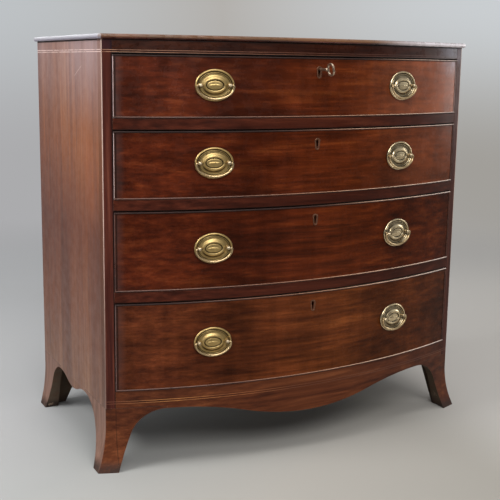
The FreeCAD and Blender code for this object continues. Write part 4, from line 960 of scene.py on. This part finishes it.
# Painted light on the floor, from behind the chest (0) to the front of it (1), a little slanted: darker
# towards the front.
FLOOR_SHADES = ((0.0, srgb(175, 176, 177)), (0.3, srgb(162, 163, 161)), (0.65, srgb(164, 160, 153)),
                (0.96, srgb(153, 149, 141)))
FLOOR_MOTTLE = srgb(163, 161, 155)
# Painted light: the floor is painted paler towards the right.
FLOOR_RIGHT_LIT = srgb(190, 187, 182)
WALL_LOW = (srgb(171, 171, 173), srgb(161, 158, 153))
WALL_HIGH = ((0.0, srgb(190, 194, 197)), (0.5, srgb(179, 176, 172)), (1.0, srgb(202, 206, 209)))


def make_paper():
    """Lit paper near the chest. Far from it, the camera and mirrors see paper that glows by itself."""
    material, n = new_material("sweep_paper")
    spot = n.spot()
    mottle = n.noise(n.coords(WHITE), scale=1.3, detail=3.0)
    slant = n.math("SUBTRACT", n.product(spot[0], 0.6), spot[1])
    floor = n.ramp(n.product(n.math("ADD", slant, 0.6), 1 / 1.4), FLOOR_SHADES)
    floor = n.mix(n.spread(mottle, 0.3, 0.7, 0.0, 0.12), floor, FLOOR_MOTTLE)
    floor = n.mix(n.spread(spot[0], 0.25, 0.6, 0.0, 0.8), floor, FLOOR_RIGHT_LIT)
    low = n.mix(n.spread(spot[0], 0.3, 3.0), *WALL_LOW)
    high = n.ramp(n.spread(spot[0], 0.3, 3.6), WALL_HIGH)
    wall = n.mix(n.spread(spot[2], 0.2, 1.3), low, high)
    reach = n.vector("LENGTH", n.vector("MULTIPLY", n.object_coords(), (1.0, 1.0, 0.0)))
    path = n.add("ShaderNodeLightPath")
    seen = n.greatest(*(path.outputs[f"Is {ray} Ray"] for ray in ("Camera", "Glossy", "Transmission")))
    glow = n.add("ShaderNodeEmission")
    n.put(glow.inputs["Color"], wall)
    paper = n.principled(floor, 0.85, n.bump(mottle, 0.0005), Specular_IOR_Level=0.2)
    both = n.add("ShaderNodeMixShader")
    n.put(both.inputs[0], n.product(seen, n.spread(reach, 1.5, FLAT)))
    n.put(both.inputs[1], paper)
    n.put(both.inputs[2], glow.outputs[0])
    n.finish(both.outputs[0])
    return material


def make_sweep():
    """A pale floor that curves up into a wall all round the back and the sides."""
    profile = [(radius, 0.0) for radius in FLOOR_RADII]
    for k in range(1, BEND_STEPS + 1):
        angle = math.pi / 2 * k / BEND_STEPS
        profile.append((FLAT + BEND * math.sin(angle), BEND * (1 - math.cos(angle))))
    profile.append((FLAT + BEND, WALL))
    steps = SWEEP_STEPS
    points = [(reach * c, reach * s, height) for reach, height in profile for c, s in circle(steps)]

    def in_gap(face):
        ring, k = divmod(face[0], steps)
        return ring >= OPEN_ABOVE and -math.sin(2 * math.pi * (k + 0.5) / steps) > OPEN_TOWARD

    faces = [face for face in quads(len(profile), steps) if not in_gap(face)]
    faces.append(tuple(range(steps)))
    sweep = bpy.data.objects.new("sweep", mesh_piece("sweep", points, faces, make_paper()))
    bpy.context.scene.collection.objects.link(sweep)


def soft_light(name, place, target, size, power, colour=WHITE, mirrored=True):
    """A rectangular lamp facing target; mirrored is whether polish and metal show it."""
    data = bpy.data.lights.new(name, "AREA")
    data.shape = "RECTANGLE"
    data.size, data.size_y = size
    data.energy = power
    data.color = colour
    lamp = bpy.data.objects.new(name, data)
    lamp.location = place
    lamp.rotation_euler = (Vector(target) - Vector(place)).to_track_quat("-Z", "Y").to_euler()
    bpy.context.scene.collection.objects.link(lamp)
    lamp.visible_camera = False
    lamp.visible_glossy = mirrored


ROOM_FRONT, ROOM_BACK = (0.035, 0.035, 0.04, 1.0), (0.36, 0.36, 0.37, 1.0)
ROOM_FLOOR, ROOM_TOP = (0.05, 0.05, 0.052, 1.0), (0.42, 0.42, 0.43, 1.0)
ROOM_SEEN = srgb(178, 176, 174)


def make_world():
    """A dim room that lights softly; mirrors see it darker in front than behind."""
    world = bpy.data.worlds.new("studio")
    bpy.context.scene.world = world
    world.use_nodes = True
    n = Nodes(world.node_tree)
    way = n.axes(n.add("ShaderNodeTexCoord").outputs["Generated"])
    around = n.mix(n.spread(way[1], -0.6, 0.5), ROOM_FRONT, ROOM_BACK)
    around = n.mix(n.spread(way[2], 0.05, 0.8), around, ROOM_TOP)
    path = n.add("ShaderNodeLightPath")
    mirrored = n.greatest(path.outputs["Is Glossy Ray"], path.outputs["Is Transmission Ray"])
    dim = n.mix(n.spread(way[2], 0.1, 0.9), ROOM_FLOOR, ROOM_TOP)
    shown = n.mix(path.outputs["Is Camera Ray"], n.mix(mirrored, dim, around), ROOM_SEEN)
    background = n.add("ShaderNodeBackground")
    n.put(background.inputs["Color"], shown)
    n.put(n.add("ShaderNodeOutputWorld").inputs["Surface"], background.outputs[0])


YAW, PITCH, ROLL = (math.radians(angle) for angle in (27.94083, -10.24882, 0.82256))
CAMERA_PLACE = (-1.0905, -1.9725, 0.8653)
SENSOR_MM, LENS_MM = 36.0, 67.49
SHIFT_X, SHIFT_Y = 0.00968, -0.03404


def make_camera():
    """The camera, front left of the chest and looking slightly down; yaw turns from +Y towards +X."""
    forward = Vector((math.sin(YAW) * math.cos(PITCH), math.cos(YAW) * math.cos(PITCH), math.sin(PITCH)))
    level = Vector((math.cos(YAW), -math.sin(YAW), 0.0))
    rise = level.cross(forward)
    right = level * math.cos(ROLL) + rise * math.sin(ROLL)
    upward = rise * math.cos(ROLL) - level * math.sin(ROLL)
    data = bpy.data.cameras.new("camera")
    data.sensor_width = SENSOR_MM
    data.lens = LENS_MM
    data.shift_x, data.shift_y = SHIFT_X, SHIFT_Y
    camera = bpy.data.objects.new("camera", data)
    turned = Matrix((right, upward, -forward)).transposed().to_4x4()
    camera.matrix_world = Matrix.Translation(CAMERA_PLACE) @ turned
    bpy.context.scene.collection.objects.link(camera)
    bpy.context.scene.camera = camera


make_sweep()
soft_light("key", (-0.5, -2.5, 2.4), (0.0, -0.1, 0.4), (1.8, 1.5), 56.0)
soft_light("front_low", (-0.3, -2.9, 0.95), (0.0, -0.1, 0.2), (1.5, 0.5), 9.0, mirrored=False)
soft_light("top", (0.25, -0.5, 2.95), (0.1, -0.1, 0.3), (1.6, 1.2), 18.0)
soft_light("left_high", (-2.1, 0.0, 2.2), (-0.4, 0.0, 0.3), (1.1, 0.9), 52.0)
soft_light("left", (-2.8, -0.1, 0.95), (-0.4, 0.05, 0.7), (0.3, 1.2), 3.0)
soft_light("right", (2.5, -0.35, 1.1), (0.3, -0.1, 0.8), (0.5, 1.1), 9.0, (1.0, 0.99, 0.98))
soft_light("back", (-0.25, 3.0, 1.75), (0.0, 0.2, 0.7), (1.3, 0.8), 12.0, (0.94, 0.97, 1.0))
make_world()
bpy.context.scene.view_settings.view_transform = "Standard"
make_camera()
